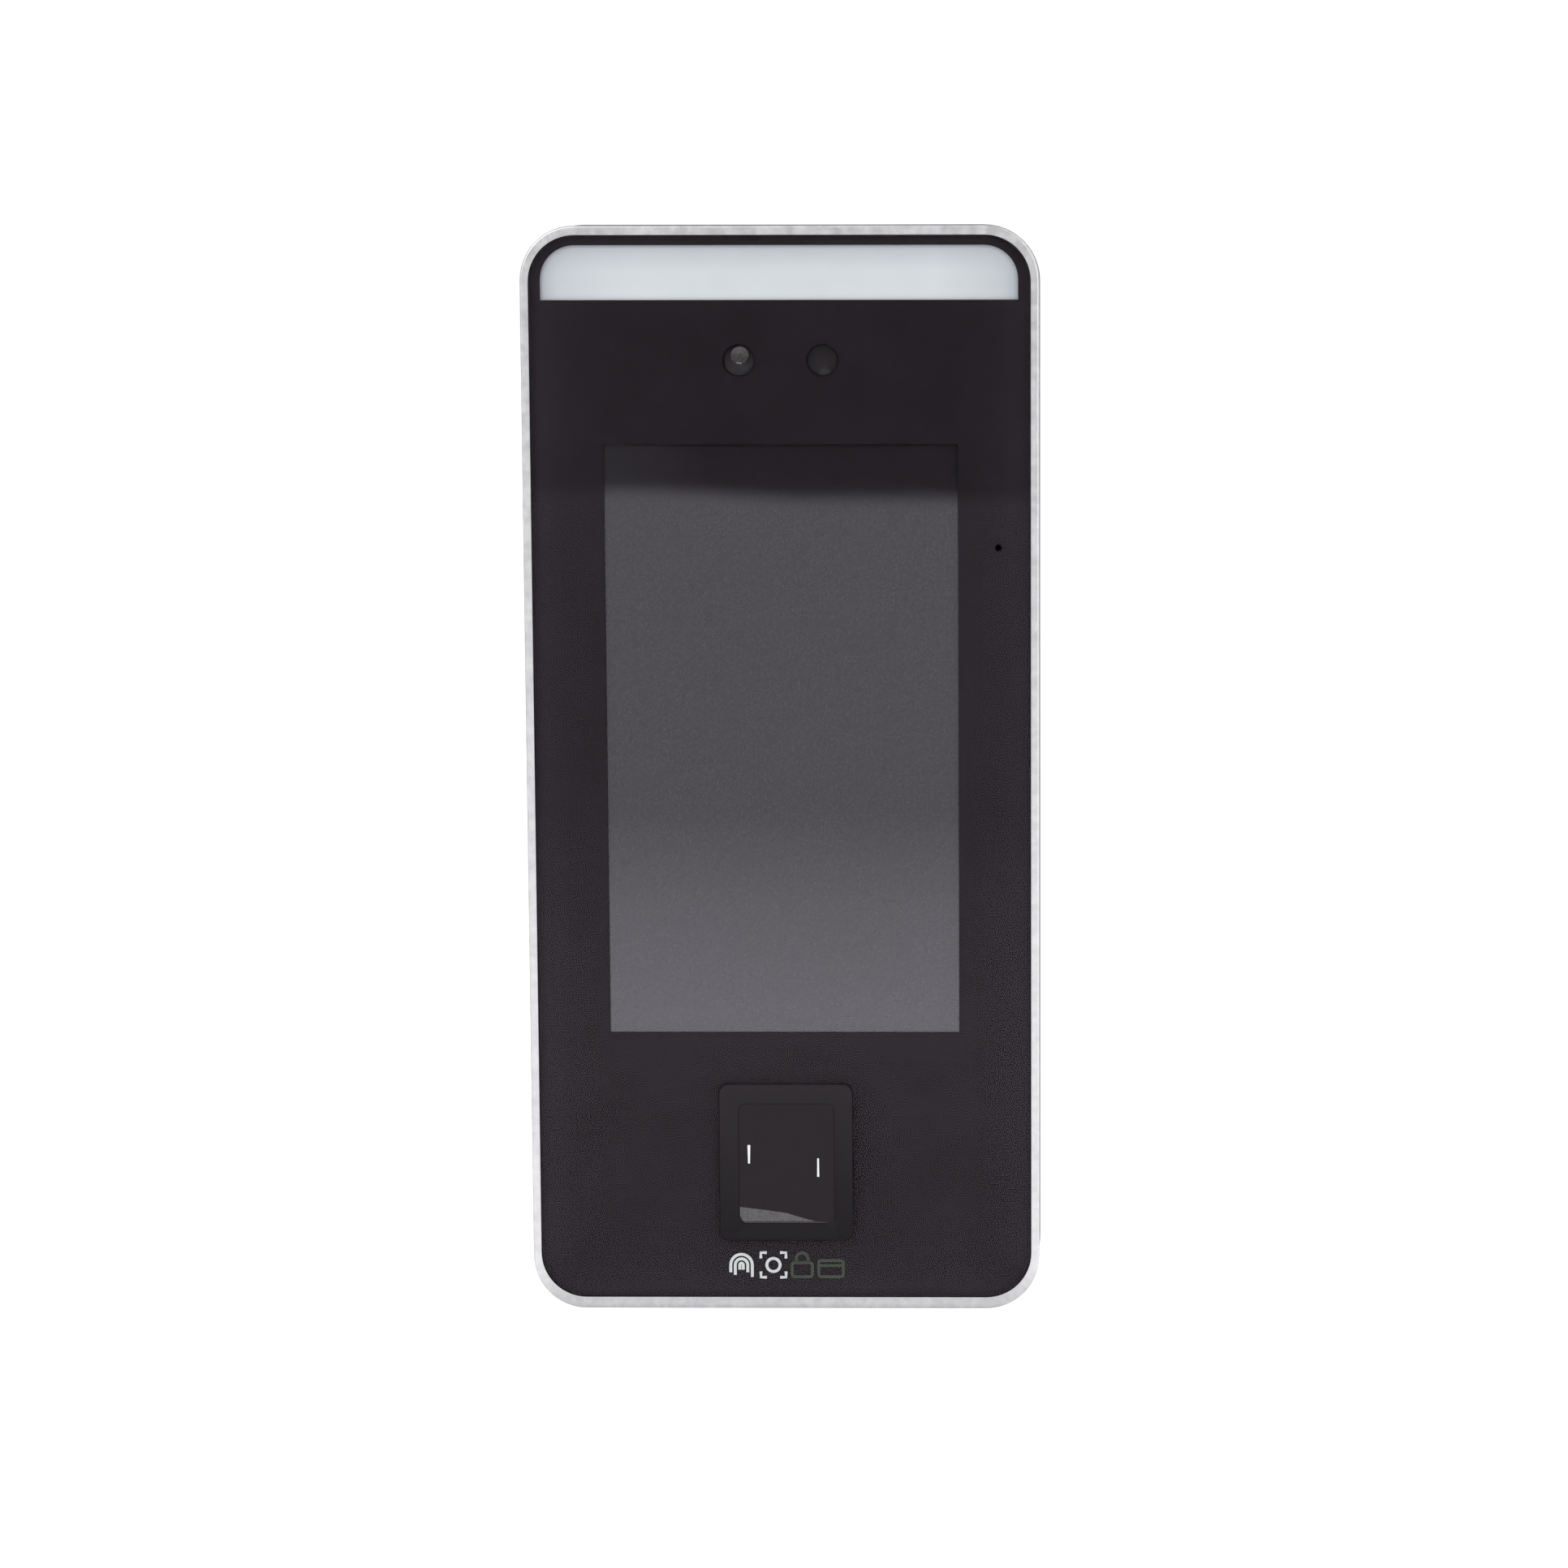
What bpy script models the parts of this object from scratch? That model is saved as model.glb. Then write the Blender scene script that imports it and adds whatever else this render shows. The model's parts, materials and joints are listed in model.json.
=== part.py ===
"""Fingerprint scanner terminal for a wall, built as an assembly of separate pieces.

Frame: X to the right seen from the front, +Z up, and the front faces -Y. The wall is the plane
Y = 0, and the origin lies on the back face of the wall bracket. Sizes here are in millimetres.
"""

import bmesh
import bpy
from mathutils import Vector

MM = 0.001
AXIS = {"X": 0, "Y": 1, "Z": 2}

# Driving dimensions
BODY_WIDTH = 95.4
BODY_HEIGHT = 201.4
BODY_CORNER = 10.3
RIM_STEP = 0.3
LIP = 1.55
END_LIP = 0.2
BOTTOM_LIP = 0.6
BOTTOM_EDGE = 0.1
COVER_SIDE_CUT = 0.2
WALL = 2.0
FIT = 0.1
CLEAR = 0.3
OVER = 1.0
CORNER_STEPS = 12
HIDDEN_STEPS = 6
ROUND_SIDES = 16

# How far each outline lies inside the rear cover's own outline
FRAME_INSET = RIM_STEP
POCKET_INSET = FRAME_INSET + LIP
GLASS_INSET = POCKET_INSET + FIT
PRINT_INSET = POCKET_INSET + 0.04
LEDGE_INSET = 3.15
CAVITY_INSET = FRAME_INSET + WALL
GASKET_INSETS = (0.7, 2.1)

# Depth of each layer as (front, back)
GLASS_Y = (-22.0, -20.8)
PRINT_Y = (-20.5, -20.2)
LEDGE_Y = (-19.9, -18.7)
FRAME_Y = (-21.8, -10.6)
GASKET_Y = (-10.55, -9.35)
COVER_Y = (-9.3, -0.3)
BACK_WALL_Y = (-2.3, -0.3)
RECESS_FLOOR_Y = (-5.3, -3.3)
BRACKET_Y = (-1.5, 0.0)
MAIN_BOARD_Y = (-14.2, -12.6)
BOARD_PARTS_FRONT = MAIN_BOARD_Y[1] + CLEAR

# Windows in the glass's black print, as half sizes or spans
LIGHT_WINDOW_X = (-43.85, 43.55)
LIGHT_WINDOW_Z = (86.9, 96.85)
LIGHT_WINDOW_CORNER = 6.3
SCREEN_X = (-32.6, 32.45)
SCREEN_Z = (-48.8, 60.6)
CAMERA_X = {"visible": -7.6, "infrared": 7.75}
CAMERA_Z = 75.9
CAMERA_WINDOW_RADIUS = 3.0
MICROPHONE = (39.9, 41.6)
MICROPHONE_HOLE_RADIUS = 0.65

# Fingerprint reader
READER = (0.1, -73.1)
READER_SIZE = (24.7, 29.4)
READER_CORNER = 1.7
SENSOR_SIZE = (17.7, 22.6)
SENSOR_DROP = 0.5
SENSOR_FRONT = -20.6

# Wall bracket and what it hooks into
PLATE_X = 33.0
PLATE_Z = (-64.0, 72.0)
NECK_X = 9.6
HOOK_X = 18.0
HOOK_TOPS = (45.0, -55.0)
HOOK_WIDTH = 10.0
HOOK_THICK = 1.5
HOOK_LIP = 4.5
LIFT = 6.0
WALL_SCREW_X = 27.0
WALL_SCREW_Z = (66.0, -59.5)
BAY_X = 27.0
BAY_Z = (-45.0, -11.0)
SECURITY_SCREW_Y = -6.0

# Buttons, port and screws
TAMPER = (12.0, 20.0)
RESET = (-12.0, 20.0)
USB_X = (20.4, 33.6)
USB_HINGE = (-8.5, -100.7)
COVER_SCREW_X = 41.0
COVER_SCREW_Z = (89.5, 10.0, -89.5)


def clear_scene():
    for obj in list(bpy.data.objects):
        bpy.data.objects.remove(obj)


def new_collection(name):
    collection = bpy.data.collections.new(name)
    bpy.context.scene.collection.children.link(collection)
    return collection


def new_material(name, colour, roughness, metallic=0.0):
    material = bpy.data.materials.new(name)
    material.use_nodes = True
    shader = material.node_tree.nodes["Principled BSDF"]
    shader.inputs["Base Color"].default_value = (*colour, 1.0)
    shader.inputs["Roughness"].default_value = roughness
    shader.inputs["Metallic"].default_value = metallic
    return material


clear_scene()
MODEL = new_collection("fingerprint_terminal")
CUTTERS = new_collection("cutters")

GLASS = new_material("clear_glass", (0.75, 0.77, 0.78), 0.05)
BLACK_PRINT = new_material("black_print", (0.01, 0.01, 0.011), 0.4)
SILVER = new_material("blasted_aluminium", (0.62, 0.62, 0.62), 0.45, 0.9)
BLACK_ABS = new_material("black_abs", (0.02, 0.02, 0.022), 0.5)
GLOSS_BLACK = new_material("gloss_black", (0.012, 0.012, 0.014), 0.15)
RUBBER = new_material("black_rubber", (0.018, 0.018, 0.018), 0.8)
OPAL = new_material("opal_acrylic", (0.72, 0.74, 0.76), 0.4)
WHITE_PLASTIC = new_material("white_nylon", (0.7, 0.69, 0.64), 0.45)
BOARD = new_material("green_board", (0.02, 0.12, 0.06), 0.45)
FILM = new_material("amber_film", (0.35, 0.16, 0.03), 0.4)
STEEL = new_material("zinc_steel", (0.5, 0.5, 0.5), 0.35, 1.0)
BRASS = new_material("brass", (0.6, 0.42, 0.16), 0.3, 1.0)
DARK_GLASS = new_material("coated_glass", (0.03, 0.03, 0.04), 0.05)


def add_object(name, mesh, centre, material, helper):
    """Turn a bmesh that is centred on the origin into an object placed at its centre."""
    data = bpy.data.meshes.new(name)
    mesh.to_mesh(data)
    mesh.free()
    obj = bpy.data.objects.new(name, data)
    obj.location = centre * MM
    if helper:
        CUTTERS.objects.link(obj)
        obj.hide_render = True
        obj.display_type = "WIRE"
    else:
        MODEL.objects.link(obj)
        data.materials.append(material)
        data.shade_smooth()
        data.set_sharp_from_angle(angle=0.6)
    return obj


def ends_at(mesh, axis, sign):
    """The edges that lie in the end face of a mesh, on one side of an axis."""
    limit = max(sign * vert.co[axis] for vert in mesh.verts)
    return [
        edge
        for edge in mesh.edges
        if all(abs(sign * vert.co[axis] - limit) < 1e-7 for vert in edge.verts)
    ]


def bevel(mesh, edges, width, steps):
    bmesh.ops.bevel(
        mesh, geom=edges, offset=width * MM, segments=steps, profile=0.5, affect="EDGES"
    )


def block(name, x, y, z, material=None, corner=0.0, along="Y", ease=None, steps=CORNER_STEPS):
    """A box between limits on X, Y and Z, with its edges along one axis rounded.

    ease is (sign, width, steps) and rounds the outline of the end face on that side of the axis.
    With no material the block is a helper for cutting or joining.
    """
    low = Vector((x[0], y[0], z[0]))
    high = Vector((x[1], y[1], z[1]))
    mesh = bmesh.new()
    bmesh.ops.create_cube(mesh, size=1.0)
    bmesh.ops.scale(mesh, vec=(high - low) * MM, verts=mesh.verts)
    axis = AXIS[along]
    if corner:
        lengthwise = [
            edge
            for edge in mesh.edges
            if abs((edge.verts[0].co - edge.verts[1].co).normalized()[axis]) > 0.99
        ]
        bevel(mesh, lengthwise, corner, steps)
    if ease:
        sign, width, ease_steps = ease
        bevel(mesh, ends_at(mesh, axis, sign), width, ease_steps)
    return add_object(name, mesh, (low + high) / 2, material, material is None)


def rod(name, centre, radius, span, along="Y", material=None, sides=ROUND_SIDES, tip=None):
    """A cylinder or cone along an axis: centre gives the other two axes, span its two ends."""
    axis = AXIS[along]
    middle = list(centre)
    middle.insert(axis, (span[0] + span[1]) / 2)
    mesh = bmesh.new()
    bmesh.ops.create_cone(
        mesh,
        cap_ends=True,
        segments=sides,
        radius1=radius * MM,
        radius2=(radius if tip is None else tip) * MM,
        depth=(span[1] - span[0]) * MM,
    )
    if along != "Z":
        turn = Vector((0, 0, 1)).rotation_difference(Vector((axis == 0, axis == 1, 0)))
        bmesh.ops.rotate(mesh, matrix=turn.to_matrix(), verts=mesh.verts)
    return add_object(name, mesh, Vector(middle), material, material is None)


def combine(target, operation, tools):
    for tool in tools:
        modifier = target.modifiers.new(f"{operation.lower()} {tool.name}", "BOOLEAN")
        modifier.operation = operation
        modifier.solver = "EXACT"
        modifier.object = tool
    return target


def cut(target, *tools):
    return combine(target, "DIFFERENCE", tools)


def join(target, *tools):
    return combine(target, "UNION", tools)


def outline_block(
    name, inset, y, material=None, ease=None, steps=CORNER_STEPS, narrower=0.0, shorter=0.0, lower=0.0
):
    """A plate with the terminal's outline, drawn in from the rear cover's edge by an inset.

    The sides can be drawn in further by narrower and both ends by shorter, and the bottom end can
    reach further down by lower.
    """
    half_x = BODY_WIDTH / 2 - inset - narrower
    half_z = BODY_HEIGHT / 2 - inset - shorter
    return block(
        name,
        (-half_x, half_x),
        y,
        (-half_z - lower, half_z),
        material,
        corner=BODY_CORNER - inset,
        ease=ease,
        steps=steps,
    )


def inner_outline(name, inset, y):
    """The same outline for a cutter whose wall is never seen, with coarser corners."""
    return outline_block(name, inset, y, steps=HIDDEN_STEPS)


def reader_block(name, size, grow, y, material=None, corner=READER_CORNER, drop=0.0):
    """A plate centred on the fingerprint reader or lower by drop, larger than size by grow all round."""
    half_x = size[0] / 2 + grow
    half_z = size[1] / 2 + grow
    middle_z = READER[1] - drop
    return block(
        name,
        (READER[0] - half_x, READER[0] + half_x),
        y,
        (middle_z - half_z, middle_z + half_z),
        material,
        corner=corner,
        steps=4,
    )


def bent_strip(name, x, path, thickness, material):
    """A flat cable: a strip of the given width along X that follows a path of (y, z) points."""
    mesh = bmesh.new()
    rows = [
        [mesh.verts.new(Vector((side, y, z)) * MM) for side in x]
        for y, z in path
    ]
    for here, after in zip(rows, rows[1:]):
        mesh.faces.new((here[0], here[1], after[1], after[0]))
    obj = add_object(name, mesh, Vector((0, 0, 0)), material, False)
    modifier = obj.modifiers.new("thickness", "SOLIDIFY")
    modifier.thickness = thickness * MM
    modifier.offset = 0.0
    return obj


def pivot(name, point):
    """An empty on a joint's axis, which carries the piece that moves there."""
    empty = bpy.data.objects.new(name, None)
    empty.location = Vector(point) * MM
    MODEL.objects.link(empty)
    return empty


def hang_on(empty, *pieces):
    for piece in pieces:
        piece.location -= empty.location
        piece.parent = empty


def make_front_glass():
    """The cover glass, with its hole for the reader and the microphone, and the black print behind it."""
    ends = {"shorter": END_LIP, "lower": BOTTOM_EDGE}
    glass = outline_block("front_glass", GLASS_INSET, GLASS_Y, GLASS, ease=(-1, 0.25, 2), **ends)
    through_glass = (GLASS_Y[0] - OVER, GLASS_Y[1] + CLEAR)
    cut(
        glass,
        reader_block("cut_glass_reader", READER_SIZE, 0.2, through_glass),
        rod("cut_glass_microphone", MICROPHONE, MICROPHONE_HOLE_RADIUS, through_glass),
    )
    printed = outline_block("glass_print", PRINT_INSET, PRINT_Y, BLACK_PRINT, **ends)
    through_print = (PRINT_Y[0] - CLEAR / 2, PRINT_Y[1] + CLEAR / 2)
    light = block("cut_print_light", LIGHT_WINDOW_X, through_print, LIGHT_WINDOW_Z)
    round_top_corners(light, LIGHT_WINDOW_CORNER)
    cut(
        printed,
        light,
        block("cut_print_screen", SCREEN_X, through_print, SCREEN_Z),
        reader_block("cut_print_reader", READER_SIZE, 0.2, through_print),
        rod("cut_print_microphone", MICROPHONE, MICROPHONE_HOLE_RADIUS, through_print),
    )
    for kind, x in CAMERA_X.items():
        window = rod(
            f"cut_print_{kind}", (x, CAMERA_Z), CAMERA_WINDOW_RADIUS, through_print, sides=32
        )
        cut(printed, window)


def round_top_corners(obj, radius):
    """Round the two upper edges of a block that run along Y, and leave the lower ones sharp."""
    mesh = bmesh.new()
    mesh.from_mesh(obj.data)
    top = max(vert.co.z for vert in mesh.verts)
    edges = [
        edge
        for edge in mesh.edges
        if all(abs(vert.co.z - top) < 1e-7 for vert in edge.verts)
        and abs(edge.verts[0].co.x - edge.verts[1].co.x) < 1e-7
    ]
    bevel(mesh, edges, radius, CORNER_STEPS)
    mesh.to_mesh(obj.data)
    mesh.free()


def make_front_frame():
    """The silver frame round the glass: a thin wall, the ledge that holds the glass, and six screw lugs."""
    frame = outline_block(
        "front_frame", FRAME_INSET, FRAME_Y, SILVER, ease=(-1, 0.4, 3), lower=BOTTOM_LIP
    )
    pocket = outline_block(
        "cut_pocket",
        POCKET_INSET,
        (FRAME_Y[0] - OVER, LEDGE_Y[0]),
        shorter=END_LIP,
        lower=BOTTOM_EDGE,
    )
    cut(
        frame,
        pocket,
        inner_outline("cut_ledge", LEDGE_INSET, (LEDGE_Y[0] - OVER, LEDGE_Y[1] + OVER)),
        inner_outline("cut_inside", CAVITY_INSET, (LEDGE_Y[1], FRAME_Y[1] + OVER)),
    )
    lug_y = (-17.0, FRAME_Y[1])
    half_lug = 4.0
    lug_inner = 38.4
    wall_inner = BODY_WIDTH / 2 - CAVITY_INSET
    for index, (x, z) in enumerate(cover_screw_places(), start=1):
        side = 1 if x > 0 else -1
        reach = sorted((side * lug_inner, side * (wall_inner + WALL / 2)))
        lug = block(f"lug_{index}", reach, lug_y, (z - half_lug, z + half_lug))
        hole = rod(f"cut_lug_{index}", (x, z), 1.45, (-16.0, FRAME_Y[1] + OVER), sides=8)
        join(frame, lug)
        cut(frame, hole)


def cover_screw_places():
    return [(side * COVER_SCREW_X, z) for z in COVER_SCREW_Z for side in (-1, 1)]


def make_cover_screws():
    """Six screws from the back, through the rear cover's posts into the frame's lugs."""
    head_y = (-2.0, -0.7)
    for index, (x, z) in enumerate(cover_screw_places(), start=1):
        screw = rod(f"cover_screw_{index}", (x, z), 2.1, head_y, material=STEEL)
        join(screw, rod(f"shank_{index}", (x, z), 1.1, (-15.5, head_y[0] + 0.4), sides=12))
        cut(screw, rod(f"cut_drive_{index}", (x, z), 1.0, (head_y[1] - 0.8, OVER), sides=6))


def make_seal_gasket():
    gasket = outline_block("seal_gasket", GASKET_INSETS[0], GASKET_Y, RUBBER)
    through = (GASKET_Y[0] - OVER, GASKET_Y[1] + OVER)
    cut(gasket, inner_outline("cut_gasket", GASKET_INSETS[1], through))


def make_rear_cover():
    """The black moulded back: an open shell with a sunk seat for the wall bracket."""
    cover = outline_block(
        "rear_cover", 0.0, COVER_Y, BLACK_ABS, ease=(1, 1.9, 4), narrower=COVER_SIDE_CUT
    )
    cut(cover, inner_outline("cut_cover_inside", CAVITY_INSET, (COVER_Y[0] - OVER, BACK_WALL_Y[0])))
    add_bracket_seat(cover)
    add_wiring_bay(cover)
    add_screw_posts(cover)
    add_speaker_slots(cover)
    add_usb_opening(cover)
    for name, place, radius in (("tamper", TAMPER, 1.9), ("reset", RESET, 2.1)):
        cut(cover, rod(f"cut_{name}_hole", place, radius, (RECESS_FLOOR_Y[0] - OVER, -OVER)))


def add_bracket_seat(cover):
    """The recess, its neck down to the bottom edge, the hook slots and the security screw's block."""
    rim = 2.0
    floor_y = (RECESS_FLOOR_Y[0], BACK_WALL_Y[1] - OVER)
    recess_y = (RECESS_FLOOR_Y[1], OVER)
    recess_x = (-PLATE_X - 1.0, PLATE_X + 1.0)
    recess_z = (PLATE_Z[0] - LIFT - 1.0, PLATE_Z[1] + 1.0)
    bottom = -BODY_HEIGHT / 2
    join(
        cover,
        block(
            "seat_floor",
            (recess_x[0] - rim, recess_x[1] + rim),
            floor_y,
            (recess_z[0] - rim, recess_z[1] + rim),
            corner=5.0,
            steps=4,
        ),
        block("neck_floor", (-NECK_X - rim, NECK_X + rim), floor_y, (bottom + WALL, -60.0)),
        block("screw_block", (-NECK_X - rim, NECK_X + rim), (COVER_Y[0], -3.0), (-99.5, -91.0)),
    )
    cut(
        cover,
        block("cut_recess", recess_x, recess_y, recess_z, corner=4.5, steps=4),
        block("cut_neck", (-NECK_X, NECK_X), recess_y, (bottom - OVER, -60.0)),
        block("cut_flange_notch", (-NECK_X, NECK_X), (-8.3, OVER), (bottom - OVER, -97.2)),
        rod("cut_insert", (0, SECURITY_SCREW_Y), 2.3, (-99.0, -90.0), along="Z"),
    )
    slot_half = HOOK_WIDTH / 2 + 0.5
    for row, top in enumerate(HOOK_TOPS, start=1):
        for x in (-HOOK_X, HOOK_X):
            side = "left" if x < 0 else "right"
            slot = block(
                f"cut_hook_slot_{side}_{row}",
                (x - slot_half, x + slot_half),
                (RECESS_FLOOR_Y[0] - OVER, RECESS_FLOOR_Y[1] + OVER),
                (top - HOOK_THICK - LIFT - 0.5, top + CLEAR),
            )
            cut(cover, slot)


def add_wiring_bay(cover):
    """A walled opening in the recess's floor, through which the board's connectors are reached."""
    rim = 2.0
    outer_z = (BAY_Z[0] - rim, BAY_Z[1] + rim)
    walls_y = (MAIN_BOARD_Y[1] + CLEAR, RECESS_FLOOR_Y[1] - OVER)
    join(cover, block("bay_walls", (-BAY_X - rim, BAY_X + rim), walls_y, outer_z))
    through = (walls_y[0] - OVER, OVER)
    cut(cover, block("cut_bay", (-BAY_X, BAY_X), through, BAY_Z, corner=2.0, steps=3))


def add_screw_posts(cover):
    post_y = (GASKET_Y[0], BACK_WALL_Y[1] - OVER)
    for index, place in enumerate(cover_screw_places(), start=1):
        join(cover, rod(f"post_{index}", place, 3.1, post_y, sides=12))
        cut(cover, rod(f"cut_post_{index}", place, 1.5, (post_y[0] - OVER, OVER), sides=8))
        cut(cover, rod(f"cut_head_{index}", place, 2.5, (-2.3, OVER)))


def add_speaker_slots(cover):
    pitch = 2.6
    for index in range(5):
        x = -27.0 + (index - 2) * pitch
        through = (BACK_WALL_Y[0] - OVER, OVER)
        slot = block(
            f"cut_sound_{index}", (x - 0.6, x + 0.6), through, (-91.0, -81.0), corner=0.59, steps=3
        )
        cut(cover, slot)


def add_usb_opening(cover):
    """The socket's opening in the bottom wall, sunk for its rubber flap."""
    bottom = -BODY_HEIGHT / 2
    sunk = block(
        "cut_flap_seat",
        (USB_X[0] - 1.9, USB_X[1] + 1.9),
        (-8.7, -2.5),
        (bottom - OVER, bottom + 1.2),
    )
    opening = block(
        "cut_usb_opening", (USB_X[0] - 0.5, USB_X[1] + 0.5), (-8.1, -3.1), (bottom - OVER, -96.0)
    )
    cut(cover, sunk, opening)


def make_light_bar():
    """The opal bar over the screen and the board of white lamps behind it."""
    x = (LIGHT_WINDOW_X[0] - 0.3, LIGHT_WINDOW_X[1] + 0.3)
    z = (LIGHT_WINDOW_Z[0] - 1.5, LIGHT_WINDOW_Z[1] + 0.2)
    bar = block("light_diffuser", x, (-19.9, -18.4), z, OPAL)
    round_top_corners(bar, LIGHT_WINDOW_CORNER + 0.3)
    board = block("light_board", (-39.0, 39.0), (-17.9, -17.2), (87.5, 95.0), BOARD)
    lamp_half = 1.7
    for index in range(10):
        x_lamp = (index - 4.5) * 8.2
        lamp = block(
            f"lamp_{index}",
            (x_lamp - lamp_half, x_lamp + lamp_half),
            (-18.2, -17.5),
            (91.25 - lamp_half, 91.25 + lamp_half),
        )
        join(board, lamp)


def make_cameras():
    """A visible-light camera and an infrared one side by side, with their board and two lamp boards."""
    for kind, x in CAMERA_X.items():
        place = (x, CAMERA_Z)
        housing = block(
            f"{kind}_camera",
            (x - 5.0, x + 5.0),
            (-18.0, -15.9),
            (CAMERA_Z - 5.0, CAMERA_Z + 5.0),
            BLACK_ABS,
            corner=0.8,
            steps=2,
        )
        join(housing, rod(f"barrel_{kind}", place, 3.4, (-19.9, -17.5), sides=28))
        cut(housing, rod(f"cut_barrel_{kind}", place, 3.05, (-20.9, -18.5), sides=28))
        lens = rod(f"{kind}_lens", place, 2.7, (-19.7, -18.8), material=DARK_GLASS, sides=28)
        join(lens, rod(f"dome_{kind}", place, 1.1, (-19.9, -19.5), tip=1.9, sides=28))
        lamps = block(
            f"infrared_lamps_{'left' if x < 0 else 'right'}",
            (3.1 * x - 7.0, 3.1 * x + 7.0),
            (-18.6, -17.8),
            (CAMERA_Z - 3.5, CAMERA_Z + 3.5),
            BOARD,
        )
        for index, offset in enumerate((-3.2, 3.2)):
            lamp_place = (3.1 * x + offset, CAMERA_Z)
            join(lamps, rod(f"ir_lamp_{kind}_{index}", lamp_place, 1.7, (-19.6, -18.2), sides=12))
    block("camera_board", (-16.0, 16.0), (-15.6, -14.8), (69.0, 82.0), BOARD)


def make_display():
    """The screen panel, its backlight, the carrier frame round them and the panel's flat cable."""
    x = (SCREEN_X[0] - 1.8, SCREEN_X[1] + 1.8)
    z = (SCREEN_Z[0] - 4.4, SCREEN_Z[1] + 2.4)
    block("screen_panel", x, (-19.9, -18.9), z, GLOSS_BLACK)
    block("screen_backlight", x, (-18.6, -17.4), z, STEEL)
    gap = 0.5
    bar = 2.6
    carrier_y = (-19.9, -15.0)
    carrier = block(
        "screen_carrier",
        (x[0] - gap - bar, x[1] + gap + bar),
        carrier_y,
        (z[0] - gap - bar, z[1] + gap + bar),
        BLACK_ABS,
        corner=1.5,
        steps=3,
    )
    hollow = block(
        "cut_carrier",
        (x[0] - gap, x[1] + gap),
        (carrier_y[0] - OVER, carrier_y[1] + OVER),
        (z[0] - gap, z[1] + gap),
    )
    cut(carrier, hollow)
    path = [(-17.0, z[0] + 16), (-17.0, z[0] + 4), (-16.2, z[0] + 2), (-15.2, z[0] + 4)]
    path += [(-14.8, z[0] + 8), (-14.8, z[0] + 20)]
    bent_strip("screen_cable", (-10.0, 10.0), path, 0.2, FILM)


def make_reader():
    """The fingerprint reader: a funnel bezel in the glass's hole, the sensor glass and its module."""
    low = {"drop": SENSOR_DROP}
    bezel = reader_block("reader_bezel", READER_SIZE, 0.0, (GLASS_Y[0], -18.5), BLACK_ABS)
    join(bezel, reader_block("bezel_flange", READER_SIZE, 1.5, (-18.9, -17.9)))
    funnel = reader_block("cut_funnel", SENSOR_SIZE, 0.0, (SENSOR_FRONT - 3.0, SENSOR_FRONT), **low)
    widen_front(funnel, READER_SIZE, 0.3, GLASS_Y[0])
    hole_y = (SENSOR_FRONT - 0.1, -17.0)
    cut(bezel, funnel, reader_block("cut_sensor_hole", SENSOR_SIZE, 0.15, hole_y, corner=1.2, **low))
    glass_y = (SENSOR_FRONT, -18.2)
    reader_block("sensor_glass", SENSOR_SIZE, 0.0, glass_y, DARK_GLASS, corner=1.0, **low)
    gasket = reader_block("reader_gasket", READER_SIZE, 1.5, (-19.9, -19.2), RUBBER)
    cut(gasket, reader_block("cut_reader_gasket", READER_SIZE, 0.3, (-21.0, -18.0)))
    reader_block("sensor_module", SENSOR_SIZE, 3.2, (-17.6, -12.9), BLACK_ABS, corner=1.0, **low)
    path = [(-12.5, -78.0), (-12.5, -70.0), (-11.9, -64.0), (-12.2, -57.0), (-12.2, -48.5)]
    bent_strip("reader_cable", (-4.0, 4.0), path, 0.2, FILM)


def widen_front(funnel, size, margin, level):
    """Spread and lift a cutter's front face, so that its sides meet the bezel's edge at a level."""
    depth = funnel.dimensions.y / MM
    reach = depth / (SENSOR_FRONT - level)
    grow = [1 + ((size[i] - margin * 2) / SENSOR_SIZE[i] - 1) * reach for i in (0, 1)]
    front = min(vert.co.y for vert in funnel.data.vertices)
    for vert in funnel.data.vertices:
        if vert.co.y - front < 1e-6:
            vert.co.x *= grow[0]
            vert.co.z = vert.co.z * grow[1] + SENSOR_DROP * MM * reach


def make_main_board():
    """The main board and the parts on its back."""
    block("main_board", (-36.0, 36.0), MAIN_BOARD_Y, (-52.0, 65.0), BOARD, corner=2.0, steps=3)
    front = BOARD_PARTS_FRONT
    block("processor_shield", (-15.0, 12.0), (front, -10.0), (34.0, 61.0), STEEL, corner=0.6, steps=2)
    block("lock_relay", (19.0, 30.0), (front, -7.2), (-7.0, 5.0), WHITE_PLASTIC, corner=0.5, steps=2)
    cell_place = (-26.0, 12.0)
    holder = rod("cell_holder", cell_place, 7.6, (front, -8.9), material=BLACK_ABS, sides=28)
    cut(holder, rod("cut_cell", cell_place, 6.6, (-11.7, -7.9), sides=28))
    rod("coin_cell", cell_place, 6.25, (-11.4, -9.3), material=STEEL, sides=28)
    for name, x, pins in (
        ("power_header", -18.0, 4),
        ("lock_header", -2.0, 6),
        ("network_header", 14.5, 5),
    ):
        make_header(name, x, pins)


def make_header(name, x, pins):
    """A shrouded connector on the board, open to the back, with a row of pins inside."""
    pitch = 2.0
    half = pins * pitch / 2 + 1.0
    z = (-31.0, -24.5)
    y = (BOARD_PARTS_FRONT, -6.4)
    wall = 0.7
    header = block(name, (x - half, x + half), y, z, WHITE_PLASTIC)
    pocket = block(
        f"cut_{name}",
        (x - half + wall, x + half - wall),
        (y[0] + 1.2, y[1] + OVER),
        (z[0] + wall, z[1] - wall),
    )
    cut(header, pocket)
    for index in range(pins):
        pin_x = x + (index - (pins - 1) / 2) * pitch
        pin = block(
            f"pin_{name}_{index}",
            (pin_x - 0.3, pin_x + 0.3),
            (y[0] + 0.6, y[1] - 1.2),
            (-28.05, -27.45),
        )
        join(header, pin)


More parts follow.
